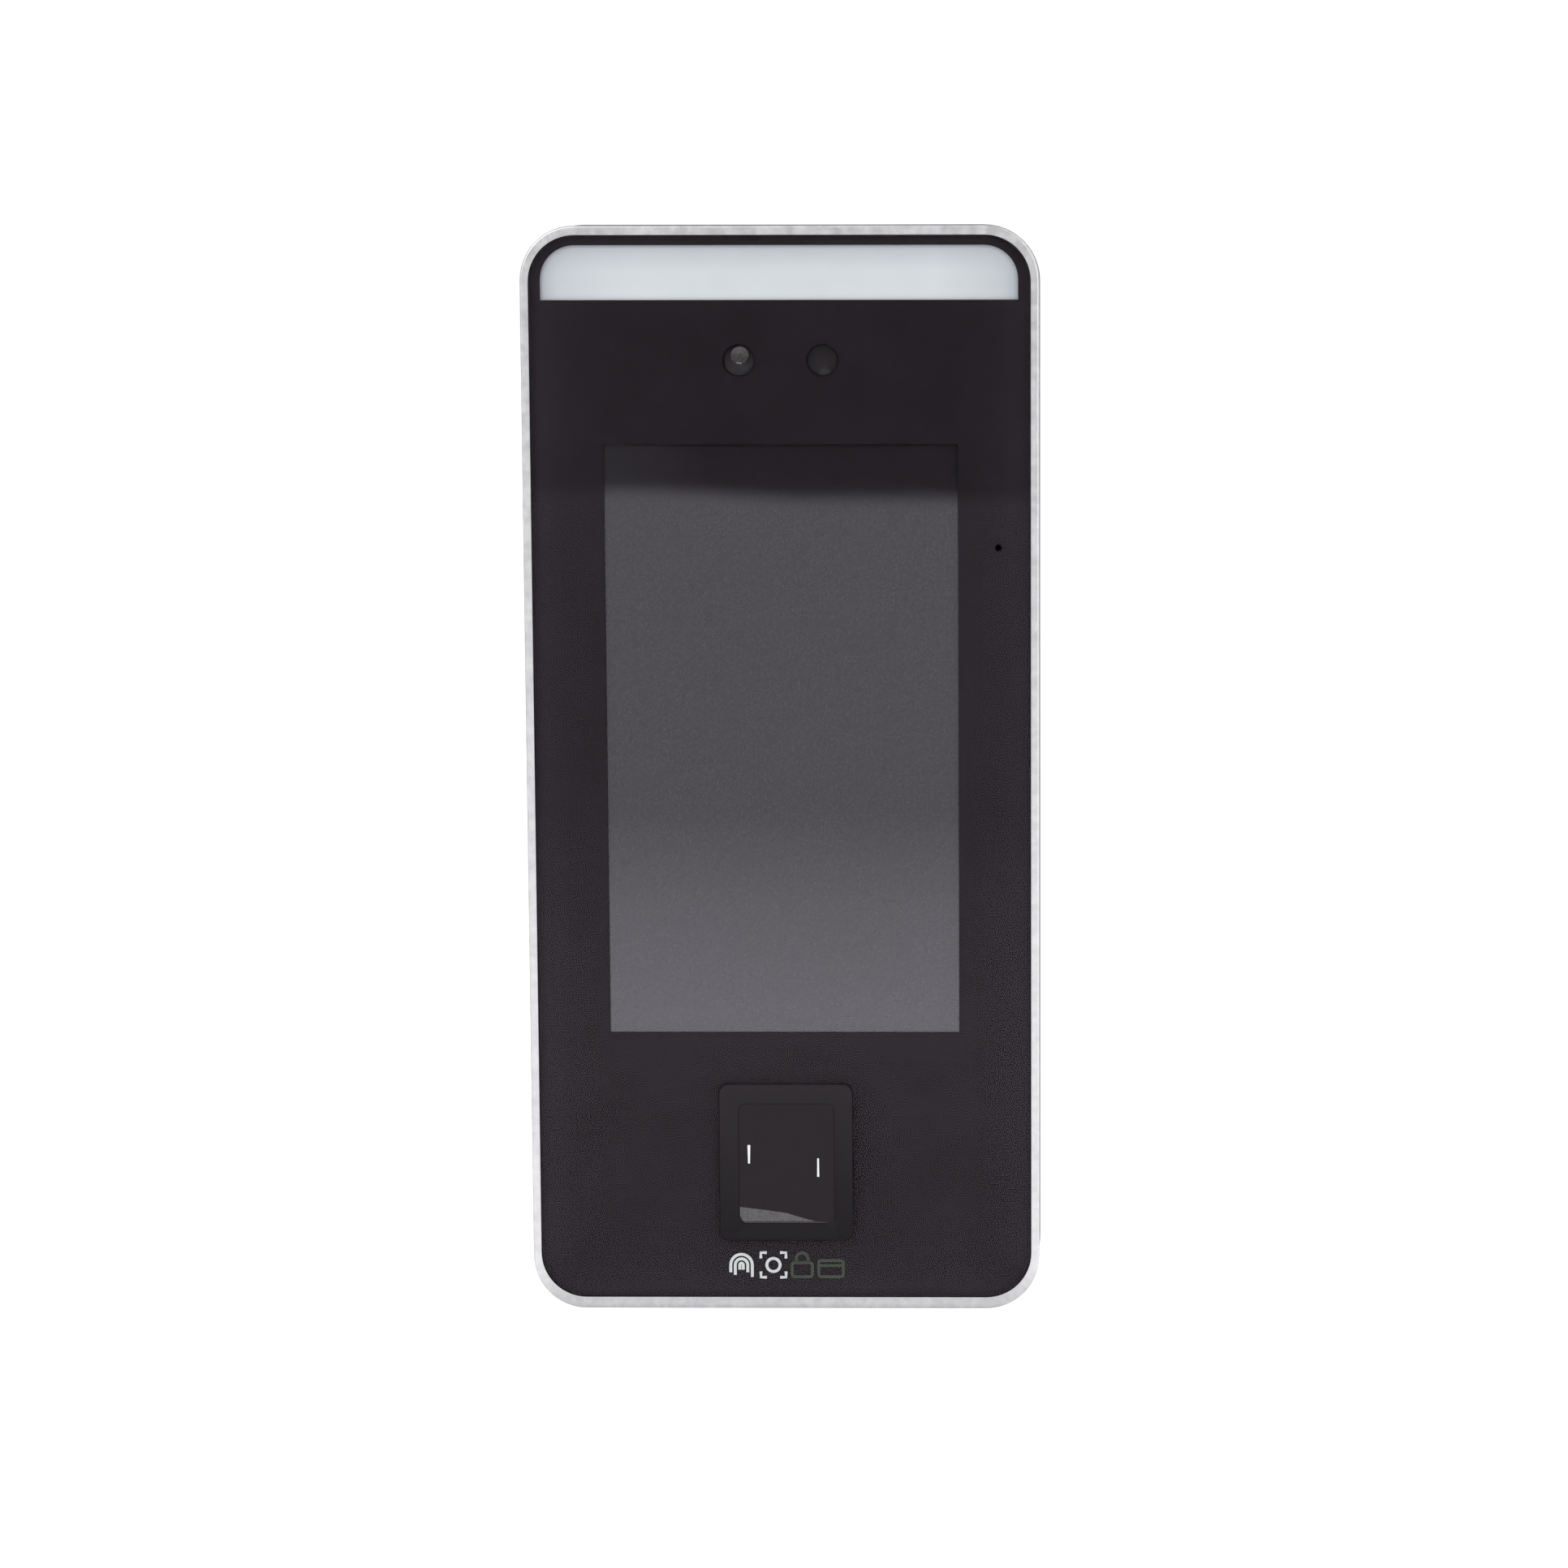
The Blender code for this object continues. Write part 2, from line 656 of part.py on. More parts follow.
def make_sound():
    """The speaker on its foam ring behind the rear slots, and the microphone behind its hole."""
    x = (-36.0, -18.0)
    z = (-92.5, -79.5)
    block("speaker", x, (-8.2, -3.4), z, BLACK_ABS, corner=2.0, steps=3)
    ring = block("speaker_gasket", x, (-3.1, -2.6), z, RUBBER, corner=2.0, steps=3)
    inner_x = (x[0] + 1.6, x[1] - 1.6)
    inner_z = (z[0] + 1.2, z[1] - 1.2)
    cut(ring, block("cut_speaker_gasket", inner_x, (-4.0, -2.0), inner_z))
    can = rod("microphone", MICROPHONE, 1.5, (-19.9, -18.2), material=STEEL)
    cut(can, rod("cut_microphone", MICROPHONE, 0.5, (-21.0, -19.0), sides=12))


def make_antennas():
    """The card reader's flat loop behind the screen, and the wireless antenna inside the back."""
    loop = block("card_antenna", (-30.0, 30.0), (-16.9, -16.3), (-20.0, 56.0), BOARD)
    cut(loop, block("cut_card_antenna", (-24.0, 24.0), (-17.9, -15.3), (-14.0, 50.0)))
    block("wireless_antenna", (-28.0, 12.0), (-2.9, -2.6), (81.0, 90.0), FILM)


def make_switches():
    """The tamper plunger and the reset button, each in its switch on the main board."""
    front = BOARD_PARTS_FRONT
    half = 3.0
    for name, (x, z), height in (("tamper", TAMPER, 1.3), ("reset", RESET, 3.0)):
        block(
            f"{name}_switch",
            (x - half, x + half),
            (front, front + height),
            (z - half, z + half),
            BLACK_ABS,
            corner=0.5,
            steps=2,
        )
    plunger = rod("tamper_plunger", TAMPER, 1.5, (-9.7, -1.8), material=WHITE_PLASTIC)
    join(plunger, rod("plunger_collar", TAMPER, 2.6, (-8.4, -7.6)))
    button = rod("reset_button", RESET, 1.7, (-8.7, -4.0), material=WHITE_PLASTIC)
    join(button, rod("button_collar", RESET, 2.6, (-8.7, -7.9)))
    hang_on(pivot("tamper_slide", (TAMPER[0], BRACKET_Y[0], TAMPER[1])), plunger)
    hang_on(pivot("reset_slide", (RESET[0], RECESS_FLOOR_Y[1], RESET[1])), button)


def make_usb():
    """The service socket in the bottom edge and the rubber flap over it."""
    y = (-8.1, -3.1)
    z = (-98.4, -86.0)
    port_y = (y[0] + 0.1, y[1] - 0.1)
    port = block("usb_socket", USB_X, port_y, z, STEEL, corner=0.4, along="Z", steps=2)
    inner_x = (USB_X[0] + 0.4, USB_X[1] - 0.4)
    mouth_z = (z[0] - OVER, -88.0)
    cut(port, block("cut_usb_mouth", inner_x, (port_y[0] + 0.4, port_y[1] - 0.4), mouth_z))
    tongue_x = (inner_x[0] + 0.6, inner_x[1] - 0.6)
    join(port, block("usb_tongue", tongue_x, (-7.0, -5.6), (-97.5, -87.0)))
    hinge_y, hinge_z = USB_HINGE
    flap_x = (USB_X[0] - 1.6, USB_X[1] + 1.6)
    flap = block("usb_flap", flap_x, (hinge_y, -2.8), (hinge_z, hinge_z + 0.9), RUBBER)
    join(flap, block("flap_plug", USB_X, (-7.6, -3.6), (hinge_z + 0.5, -98.8)))
    hang_on(pivot("usb_flap_hinge", (sum(USB_X) / 2, hinge_y, hinge_z)), flap)


def make_bracket():
    """The steel wall bracket with four hooks and a bottom flange, its insert and security screw."""
    neck_x = NECK_X - 0.6
    flange_z = (-99.0, -97.5)
    bracket = block(
        "wall_bracket",
        (-PLATE_X, PLATE_X),
        BRACKET_Y,
        PLATE_Z,
        STEEL,
        corner=4.0,
        steps=4,
    )
    join(
        bracket,
        block("bracket_neck", (-neck_x, neck_x), BRACKET_Y, (flange_z[0] + 0.4, -60.0)),
        block("bracket_flange", (-neck_x + 0.1, neck_x - 0.1), (-8.0, BRACKET_Y[1] - 0.5), flange_z),
    )
    through = (BRACKET_Y[0] - OVER, BRACKET_Y[1] + OVER)
    bay_z = (BAY_Z[0] - 1.0, BAY_Z[1] + 1.0)
    cut(bracket, block("cut_bracket_bay", (-BAY_X, BAY_X), through, bay_z, corner=2.0, steps=3))
    for row, z in enumerate(WALL_SCREW_Z, start=1):
        for x in (-WALL_SCREW_X, WALL_SCREW_X):
            side = "left" if x < 0 else "right"
            cut(bracket, rod(f"cut_wall_screw_{side}_{row}", (x, z), 2.25, through))
    for row, top in enumerate(HOOK_TOPS, start=1):
        for x in (-HOOK_X, HOOK_X):
            add_hook(bracket, f"{'left' if x < 0 else 'right'}_{row}", x, top)
    cut(bracket, rod("cut_flange_hole", (0, SECURITY_SCREW_Y), 1.6, (-100.0, -96.5), along="Z"))
    insert = rod("threaded_insert", (0, SECURITY_SCREW_Y), 2.0, (-96.9, -91.9), "Z", BRASS)
    cut(insert, rod("cut_thread", (0, SECURITY_SCREW_Y), 1.55, (-98.0, -90.9), along="Z"))
    screw = rod("security_screw", (0, SECURITY_SCREW_Y), 2.1, (-100.6, -99.3), "Z", STEEL)
    join(screw, rod("security_shank", (0, SECURITY_SCREW_Y), 1.25, (-99.8, -92.5), along="Z"))
    cut(screw, rod("cut_security_drive", (0, SECURITY_SCREW_Y), 1.0, (-101.6, -99.9), "Z", sides=6))


def add_hook(bracket, tag, x, top):
    """A tab bent out of the plate and up, with the window that it leaves above it."""
    span = (x - HOOK_WIDTH / 2, x + HOOK_WIDTH / 2)
    lip_y = (-6.9, -5.6)
    window = block(
        f"cut_hook_window_{tag}",
        (span[0] - 0.5, span[1] + 0.5),
        (BRACKET_Y[0] - OVER, BRACKET_Y[1] + OVER),
        (top + 0.2, top + HOOK_LIP + 2.0),
    )
    leg = block(
        f"hook_leg_{tag}", span, (lip_y[0] + 0.4, BRACKET_Y[0] + 0.7), (top - HOOK_THICK, top)
    )
    lip_span = (span[0] + 0.2, span[1] - 0.2)
    lip = block(f"hook_lip_{tag}", lip_span, lip_y, (top - HOOK_THICK + 0.4, top + HOOK_LIP))
    cut(bracket, window)
    join(bracket, leg, lip)


make_front_glass()
make_front_frame()
make_seal_gasket()
make_rear_cover()
make_cover_screws()
make_light_bar()
make_cameras()
make_display()
make_reader()
make_main_board()
make_sound()
make_antennas()
make_switches()
make_usb()
make_bracket()
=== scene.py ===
"""Looks of the fingerprint scanner terminal: materials, fine pieces, light and camera.

Everything is in metres in the frame's own axes: X right seen from the front, +Z up, the front faces -Y.
"""

import json
import math

import bmesh
import bpy
from mathutils import Matrix, Vector


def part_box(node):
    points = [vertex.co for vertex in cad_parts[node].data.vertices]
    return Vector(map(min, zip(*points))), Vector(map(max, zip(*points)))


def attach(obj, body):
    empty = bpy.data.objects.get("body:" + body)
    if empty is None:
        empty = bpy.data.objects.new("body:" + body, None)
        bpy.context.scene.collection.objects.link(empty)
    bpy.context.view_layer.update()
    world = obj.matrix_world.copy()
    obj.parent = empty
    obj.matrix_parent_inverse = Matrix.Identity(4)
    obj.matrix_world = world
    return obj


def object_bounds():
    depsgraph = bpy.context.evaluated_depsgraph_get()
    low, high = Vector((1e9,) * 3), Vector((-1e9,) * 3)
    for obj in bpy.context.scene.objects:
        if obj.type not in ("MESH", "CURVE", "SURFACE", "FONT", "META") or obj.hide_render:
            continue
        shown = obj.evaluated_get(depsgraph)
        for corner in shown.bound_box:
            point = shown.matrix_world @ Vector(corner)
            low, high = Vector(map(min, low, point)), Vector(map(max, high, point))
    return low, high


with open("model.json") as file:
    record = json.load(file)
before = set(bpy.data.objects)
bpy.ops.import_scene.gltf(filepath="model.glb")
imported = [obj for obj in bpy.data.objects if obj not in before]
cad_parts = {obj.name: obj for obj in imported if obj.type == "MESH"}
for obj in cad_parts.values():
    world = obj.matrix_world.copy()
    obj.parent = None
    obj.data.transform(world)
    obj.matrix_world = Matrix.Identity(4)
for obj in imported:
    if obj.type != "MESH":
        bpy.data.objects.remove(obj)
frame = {"nodes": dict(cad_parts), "record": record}
cad_low, cad_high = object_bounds()

MM = 0.001
NODES = frame["nodes"]

# Places taken from the frame
GLASS_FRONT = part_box("front_glass")[0].y
GLASS_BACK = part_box("front_glass")[1].y
SENSOR_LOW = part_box("sensor_glass")[0]
BEZEL_LOW, BEZEL_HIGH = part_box("reader_bezel")
LIGHT_LOW, LIGHT_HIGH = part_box("light_diffuser")
LENS_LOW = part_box("visible_lens")[0]

# Camera: where it stands, how it is turned, and its lens
CAMERA_PLACE = (0.04992, -0.79562, 0.08918)
CAMERA_PITCH = math.radians(-6.716)
CAMERA_ROLL = math.radians(0.075)
CAMERA_YAW = math.radians(0.668)
CAMERA_LENS = 96.894
CAMERA_SHIFT = -0.1404

# Cover glass: the index whose bare surface would mirror as little as the coated one
COATED_IOR = 1.207

# Painted light on the ink near its edge: how far a halving of the painted lift reaches, and the painted
# lift at the very edge
INK_EDGE_PAINTED_LIGHT_REACH = 0.0028
INK_EDGE_PAINTED_LIGHT = 0.7

# The visible camera's front element, as (x, z) and radius
ELEMENT_PLACE = (-0.00742, 0.07682)
ELEMENT_RADIUS = 0.00165

# Where the painted glint on the infrared lens sits, as (x, z), and how far it reaches
INFRARED_PAINTED_GLINT = (0.0082, 0.0734)
INFRARED_PAINTED_GLINT_REACH = 0.0014

# Edges sharper than this stay sharp when a piece is shaded smooth
SMOOTH_ANGLE = math.radians(35)

# The switched-off screen: its grid's pitch, and the middle of its grain's level
SCREEN_PITCH = 0.00026
GRAIN_MIDDLE = 0.48

# Studio
WORLD_LIT = 0.68
WORLD_SEEN = 1.05
FLOOR_GLOW_SEEN = 0.6
FLOOR_GLOW_LIT = 0.1
LAMPS = (
    # (name, place, size, power)
    ("key", (-1.3, -1.5, 1.3), (1.6, 1.6), 22.0),
    ("fill", (1.6, -1.2, 0.5), (1.4, 1.8), 11.0),
    ("rear", (0.9, 1.8, 1.2), (1.6, 1.6), 18.0),
)
FLOOR_BELOW = 0.38
FLOOR_SIZE = 60.0
CARD_AWAY = 0.35
CARD_MARGIN = 0.05
# Height on the front glass of the reflected horizon
HORIZON = 0.05063


class Surface:
    """A new material and short calls for the nodes that the materials here share."""

    def __init__(self, name, **values):
        self.material = bpy.data.materials.new(name)
        self.material.use_nodes = True
        self.tree = self.material.node_tree
        self.shader = self.tree.nodes["Principled BSDF"]
        self.place = self.tree.nodes.new("ShaderNodeTexCoord").outputs["Object"]
        for key, value in values.items():
            self.shader.inputs[key.replace("_", " ")].default_value = value

    def add(self, kind, **settings):
        node = self.tree.nodes.new(kind)
        for key, value in settings.items():
            setattr(node, key, value)
        return node

    def link(self, output, target):
        self.tree.links.new(output, target)

    def stretched(self, factors):
        """Object coordinates scaled by a factor on each axis, for brushed or layered patterns."""
        node = self.add("ShaderNodeMapping")
        node.inputs["Scale"].default_value = factors
        self.link(self.place, node.inputs["Vector"])
        return node.outputs["Vector"]

    def noise(self, size, detail=2.0, place=None):
        """Noise whose features are about size metres across."""
        node = self.add("ShaderNodeTexNoise")
        node.inputs["Scale"].default_value = 1.0 / size
        node.inputs["Detail"].default_value = detail
        self.link(place or self.place, node.inputs["Vector"])
        return node.outputs["Fac"]

    def ranged(self, value, low, high, from_low=0.3, from_high=0.7):
        """A value spread from one range to another."""
        node = self.add("ShaderNodeMapRange")
        node.inputs["From Min"].default_value = from_low
        node.inputs["From Max"].default_value = from_high
        node.inputs["To Min"].default_value = low
        node.inputs["To Max"].default_value = high
        self.link(value, node.inputs["Value"])
        return node.outputs["Result"]

    def maths(self, operation, first, second):
        node = self.add("ShaderNodeMath", operation=operation)
        for socket, value in zip(node.inputs, (first, second)):
            if isinstance(value, (int, float)):
                socket.default_value = value
            else:
                self.link(value, socket)
        return node.outputs["Value"]

    def blended(self, value, low_colour, high_colour):
        """A colour between two colours, by a value from 0 to 1."""
        node = self.add("ShaderNodeMix", data_type="RGBA")
        node.inputs[6].default_value = (*low_colour, 1.0)
        node.inputs[7].default_value = (*high_colour, 1.0)
        self.link(value, node.inputs[0])
        return node.outputs[2]

    def colour(self, output):
        self.link(output, self.shader.inputs["Base Color"])

    def roughness(self, output):
        self.link(output, self.shader.inputs["Roughness"])

    def bump(self, height, depth):
        """Bump from a height value, where a full step is depth metres."""
        node = self.add("ShaderNodeBump")
        node.inputs["Distance"].default_value = depth
        node.inputs["Strength"].default_value = 1.0
        self.link(height, node.inputs["Height"])
        self.link(node.outputs["Normal"], self.shader.inputs["Normal"])

    def axis(self, name):
        node = self.add("ShaderNodeSeparateXYZ")
        self.link(self.place, node.inputs["Vector"])
        return node.outputs[name]


# ---------------------------------------------------------------- materials


def cover_glass():
    """Cover glass with an anti-reflection coat: clear, with a faint mirror image on its outer faces."""
    surface = Surface("cover_glass")
    clear = surface.add("ShaderNodeBsdfTransparent")
    haze = surface.ranged(surface.noise(0.03, 2.0), 0.0, 1.0)
    tint = surface.blended(haze, (0.975, 0.985, 0.98), (0.985, 0.99, 0.99))
    surface.link(tint, clear.inputs["Color"])
    mirror = surface.add("ShaderNodeBsdfGlossy")
    mirror.inputs["Roughness"].default_value = 0.0
    fresnel = surface.add("ShaderNodeFresnel")
    fresnel.inputs["IOR"].default_value = COATED_IOR
    facing = surface.add("ShaderNodeNewGeometry").outputs["Backfacing"]
    share = surface.maths("MULTIPLY", fresnel.outputs[0], surface.maths("SUBTRACT", 1.0, facing))
    mix = surface.add("ShaderNodeMixShader")
    surface.link(share, mix.inputs[0])
    surface.link(clear.outputs[0], mix.inputs[1])
    surface.link(mirror.outputs[0], mix.inputs[2])
    output = surface.tree.nodes["Material Output"]
    surface.link(mix.outputs[0], output.inputs["Surface"])
    return surface.material


def printed_ink():
    """Black screen-printed ink bonded to the glass: faint mottle, and painted light that lifts it greyer
    towards its edge, where the pocket's wall shades it.
    """
    surface = Surface("printed_ink", Roughness=0.6)
    surface.shader.inputs["Specular IOR Level"].default_value = 0.0
    mottle = surface.ranged(surface.noise(0.012, 3.0), 0.0, 0.16)
    low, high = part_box("glass_print")
    inward = []
    for axis, start, end in (("X", low.x, high.x), ("Z", low.z, high.z)):
        from_middle = surface.maths("SUBTRACT", surface.axis(axis), (start + end) / 2)
        from_middle = surface.maths("ABSOLUTE", from_middle, 0.0)
        inward.append(surface.maths("SUBTRACT", (end - start) / 2, from_middle))
    steps = surface.maths("DIVIDE", surface.maths("MINIMUM", *inward), INK_EDGE_PAINTED_LIGHT_REACH)
    # Painted light: the ink is lifted towards its edge to make up for the shade that the pocket's wall
    # casts there
    lift = surface.maths("MULTIPLY", surface.maths("POWER", 0.5, steps), INK_EDGE_PAINTED_LIGHT)
    level = surface.maths("ADD", mottle, lift)
    surface.colour(surface.blended(level, (0.0170, 0.0136, 0.0170), (0.0340, 0.0272, 0.0340)))
    return surface.material


def blasted_aluminium():
    """Bead-blasted, clear-anodised aluminium: fine grain, mottle, soft gloss, and painted light and
    shade by height.
    """
    surface = Surface("blasted_aluminium", Metallic=1.0)
    grain = surface.noise(0.00018, 3.0)
    mottle = surface.noise(0.0016, 3.0)
    fine = surface.maths("MULTIPLY", grain, 0.45)
    both = surface.maths("ADD", fine, surface.maths("MULTIPLY", mottle, 0.55))
    height = surface.axis("Z")
    # Painted light and shade: lighter low down, with darker bands painted near the bottom edge
    shade = surface.ranged(height, 1.0, 0.0, -0.04, 0.07)
    shade = surface.maths("SUBTRACT", shade, surface.ranged(height, 1.7, 0.0, -0.099, -0.094))
    shade = surface.maths("SUBTRACT", shade, surface.ranged(height, 0.7, 0.0, -0.1007, -0.0999))
    texture = surface.ranged(both, 0.375, 1.175)
    level = surface.maths("ADD", texture, surface.maths("MULTIPLY", shade, 0.45))
    level = surface.maths("MULTIPLY", level, 0.69)
    surface.colour(surface.blended(level, (0.453, 0.453, 0.457), (0.847, 0.847, 0.853)))
    surface.roughness(surface.ranged(mottle, 0.36, 0.48))
    surface.bump(grain, 0.00001)
    return surface.material


def moulded_plastic(name, colour, grain_size, roughness, depth):
    """Injection-moulded plastic with a spark-eroded grain and slight tone changes."""
    surface = Surface(name)
    tone = surface.ranged(surface.noise(0.02, 3.0), 0.0, 1.0)
    darker = tuple(part * 0.88 for part in colour)
    lighter = tuple(part * 1.12 for part in colour)
    surface.colour(surface.blended(tone, darker, lighter))
    grain = surface.noise(grain_size, 2.0)
    surface.roughness(surface.ranged(grain, roughness - 0.06, roughness + 0.06))
    surface.bump(grain, depth)
    return surface.material


def rubber():
    """Soft black rubber with a faint bloom."""
    surface = Surface("soft_rubber", Roughness=0.8)
    surface.shader.inputs["Specular IOR Level"].default_value = 0.3
    bloom = surface.ranged(surface.noise(0.004, 4.0), 0.0, 1.0)
    surface.colour(surface.blended(bloom, (0.014, 0.014, 0.014), (0.022, 0.022, 0.021)))
    surface.bump(surface.noise(0.0003, 2.0), 0.00002)
    return surface.material


def opal_acrylic():
    """The light bar's opal acrylic, with painted shade that darkens it towards its ends and its edges.
    """
    surface = Surface("opal_acrylic", Roughness=0.45)
    middle_x = (LIGHT_LOW.x + LIGHT_HIGH.x) / 2 + 0.0002
    half_x = (LIGHT_HIGH.x - LIGHT_LOW.x) / 2
    from_middle = surface.maths("SUBTRACT", surface.axis("X"), middle_x)
    from_middle = surface.maths("ABSOLUTE", from_middle, 0.0)
    # Painted shade: darker towards the ends, the top edge and the low edge
    near_end_shade = surface.ranged(from_middle, 1.0, 0.35, half_x - 0.003, half_x)
    ends = surface.ranged(from_middle, 1.0, 0.55, half_x - 0.016, half_x)
    top = surface.ranged(surface.axis("Z"), 1.0, 0.44, LIGHT_HIGH.z - 0.0050, LIGHT_HIGH.z)
    low = surface.ranged(surface.axis("Z"), 1.0, 0.84, LIGHT_LOW.z + 0.0020, LIGHT_LOW.z + 0.0042)
    cloud = surface.ranged(surface.noise(0.006, 4.0), 0.92, 1.0)
    level = surface.maths("MULTIPLY", surface.maths("MULTIPLY", near_end_shade, ends), cloud)
    level = surface.maths("MULTIPLY", level, surface.maths("MULTIPLY", top, low))
    surface.colour(surface.blended(level, (0.40, 0.42, 0.47), (0.711, 0.722, 0.756)))
    return surface.material


def screen_off():
    """The touch screen switched off: nearly black, with a fine grid and a speckle, weaker at the top as
    painted reflection: it fades above the studio's reflected horizon.
    """
    surface = Surface("screen_off", Roughness=0.03, IOR=1.66)
    columns = surface.maths("PINGPONG", surface.axis("X"), SCREEN_PITCH)
    rows = surface.maths("PINGPONG", surface.axis("Z"), SCREEN_PITCH)
    lines = surface.maths("MAXIMUM", columns, rows)
    grid = surface.ranged(lines, 0.0, 1.0, SCREEN_PITCH * 0.5, SCREEN_PITCH)
    speckle = surface.ranged(surface.noise(0.0004, 2.0), 0.0, 0.8)
    level = surface.maths("ADD", speckle, surface.maths("MULTIPLY", grid, 0.2))
    # Painted reflection: the speckle keeps its strength only below the height of the studio's reflected
    # horizon
    strength = surface.ranged(surface.axis("Z"), 1.0, 0.3, HORIZON - 0.0026, HORIZON + 0.0014)
    level = surface.maths("MULTIPLY", surface.maths("SUBTRACT", level, GRAIN_MIDDLE), strength)
    level = surface.maths("ADD", level, GRAIN_MIDDLE)
    surface.colour(surface.blended(level, (0.0070, 0.0045, 0.0070), (0.0320, 0.0270, 0.0325)))
    return surface.material


def reader_black():
    """The reader's bezel: black plastic with a fine, half-matt grain, and painted shade that makes it
    darker towards its lower end.
    """
    surface = Surface("reader_black")
    surface.shader.inputs["Specular IOR Level"].default_value = 0.15
    grain = surface.noise(0.0005, 3.0)
    # Painted shade: darker towards the bezel's lower end
    height = surface.ranged(surface.axis("Z"), 0.0, 0.9, BEZEL_LOW.z, BEZEL_HIGH.z)
    level = surface.maths("ADD", height, surface.ranged(grain, 0.0, 0.12))
    surface.colour(surface.blended(level, (0.0064, 0.0042, 0.0066), (0.0218, 0.0178, 0.0220)))
    surface.roughness(surface.ranged(grain, 0.42, 0.52))
    surface.bump(grain, 0.000004)
    return surface.material


def sensor_coat():
    """The sensor's glass: a dark coat under a hard, slightly smeared surface."""
    surface = Surface("sensor_coat", IOR=1.24)
    smear = surface.noise(0.003, 4.0)
    tone = surface.ranged(smear, 0.0, 1.0)
    surface.colour(surface.blended(tone, (0.0114, 0.0084, 0.0110), (0.0142, 0.0108, 0.0136)))
    surface.roughness(surface.ranged(smear, 0.16, 0.3))
    return surface.material


def lens_glass():
    """Dark coated lenses with painted reflection, lighter low down, and a painted glint glowing softly
    in the infrared one.
    """
    surface = Surface("lens_glass", IOR=1.3)
    height = surface.axis("Z")
    # Painted reflection: lighter low down, mostly on the visible camera's lens
    low = surface.ranged(height, 1.0, 0.0, LENS_LOW.z, LENS_LOW.z + 0.0042)
    visible_side = surface.ranged(surface.axis("X"), 1.0, 0.15, -0.001, 0.001)
    # Painted glint: a soft bright spot on the infrared lens
    across = surface.maths("SUBTRACT", surface.axis("X"), INFRARED_PAINTED_GLINT[0])
    up = surface.maths("SUBTRACT", height, INFRARED_PAINTED_GLINT[1])
    across = surface.maths("MULTIPLY", across, across)
    away = surface.maths("ADD", across, surface.maths("MULTIPLY", up, up))
    glow = surface.ranged(surface.maths("SQRT", away, 0.0), 2.2, 0.0, 0.0, INFRARED_PAINTED_GLINT_REACH)
    level = surface.maths("ADD", surface.maths("MULTIPLY", low, visible_side), glow)
    tint = surface.ranged(surface.noise(0.0009, 2.0), 0.85, 1.1)
    level = surface.maths("MULTIPLY", level, tint)
    surface.colour(surface.blended(level, (0.0230, 0.0190, 0.0230), (0.0425, 0.0370, 0.0425)))
    surface.roughness(surface.ranged(tint, 0.10, 0.16, 0.85, 1.1))
    return surface.material


def lens_element():
    """The visible camera's front element: a grey coat, painted paler round the top as painted light,
    streaked from its middle.
    """
    surface = Surface("lens_element", IOR=1.2)
    above = surface.maths("SUBTRACT", surface.axis("Z"), ELEMENT_PLACE[1])
    # Painted light: paler round the top of the element
    pale = surface.ranged(above, 0.0, 0.75, -0.0003, ELEMENT_RADIUS * 0.7)
    streak = surface.ranged(surface.noise(0.00035, 3.0), 0.0, 0.42)
    level = surface.maths("ADD", pale, streak)
    surface.colour(surface.blended(level, (0.038, 0.034, 0.035), (0.104, 0.092, 0.092)))
    surface.roughness(surface.ranged(streak, 0.2, 0.3, 0.0, 0.3))
    return surface.material


def dull_black(name, brightness):
    """A dull black without gloss, in two near tones."""
    surface = Surface(name, Roughness=0.8)
    surface.shader.inputs["Specular IOR Level"].default_value = 0.0
    tone = surface.ranged(surface.noise(0.0008, 2.0), 0.0, 1.0)
    darker = (brightness * 0.94, brightness * 0.76, brightness * 0.94)
    lighter = (brightness * 1.06, brightness * 0.86, brightness * 1.06)
    surface.colour(surface.blended(tone, darker, lighter))
    return surface.material


def microphone_hole_shade():
    """The black microphone seen through its hole, painted near-black as painted shade deep in the hole.
    """
    surface = Surface("microphone_hole_shade", Roughness=0.9)
    surface.shader.inputs["Specular IOR Level"].default_value = 0.1
    # Painted shade: near-black for the shade deep in the microphone hole
    tone = surface.ranged(surface.noise(0.0002), 0.0, 1.0)
    surface.colour(surface.blended(tone, (0.003,) * 3, (0.008,) * 3))
    return surface.material


def zinc_steel():
    """Zinc-plated sheet steel: fine rolling lines and a cloudy, bluish passivation."""
    surface = Surface("zinc_steel", Metallic=1.0)
    cloud = surface.noise(0.018, 4.0)
    lines = surface.noise(0.0005, 3.0, surface.stretched((1.0, 1.0, 0.05)))
    level = surface.maths("MULTIPLY", cloud, 0.6)
    level = surface.maths("ADD", level, surface.maths("MULTIPLY", lines, 0.4))
    tone = surface.ranged(level, 0.0, 1.0)
    surface.colour(surface.blended(tone, (0.46, 0.475, 0.50), (0.60, 0.605, 0.62)))
    surface.roughness(surface.ranged(level, 0.32, 0.44))
    surface.bump(lines, 0.000006)
    return surface.material


def turned_metal(name, colour):
    """Plated screws, cans and inserts: fine turning marks and handling stains."""
    surface = Surface(name, Metallic=1.0)
    stain = surface.noise(0.0015, 3.0)
    darker = tuple(part * 0.8 for part in colour)
    surface.colour(surface.blended(surface.ranged(stain, 0.0, 1.0), darker, colour))
    surface.roughness(surface.ranged(stain, 0.24, 0.38))
    surface.bump(surface.noise(0.00015, 2.0), 0.000006)
    return surface.material


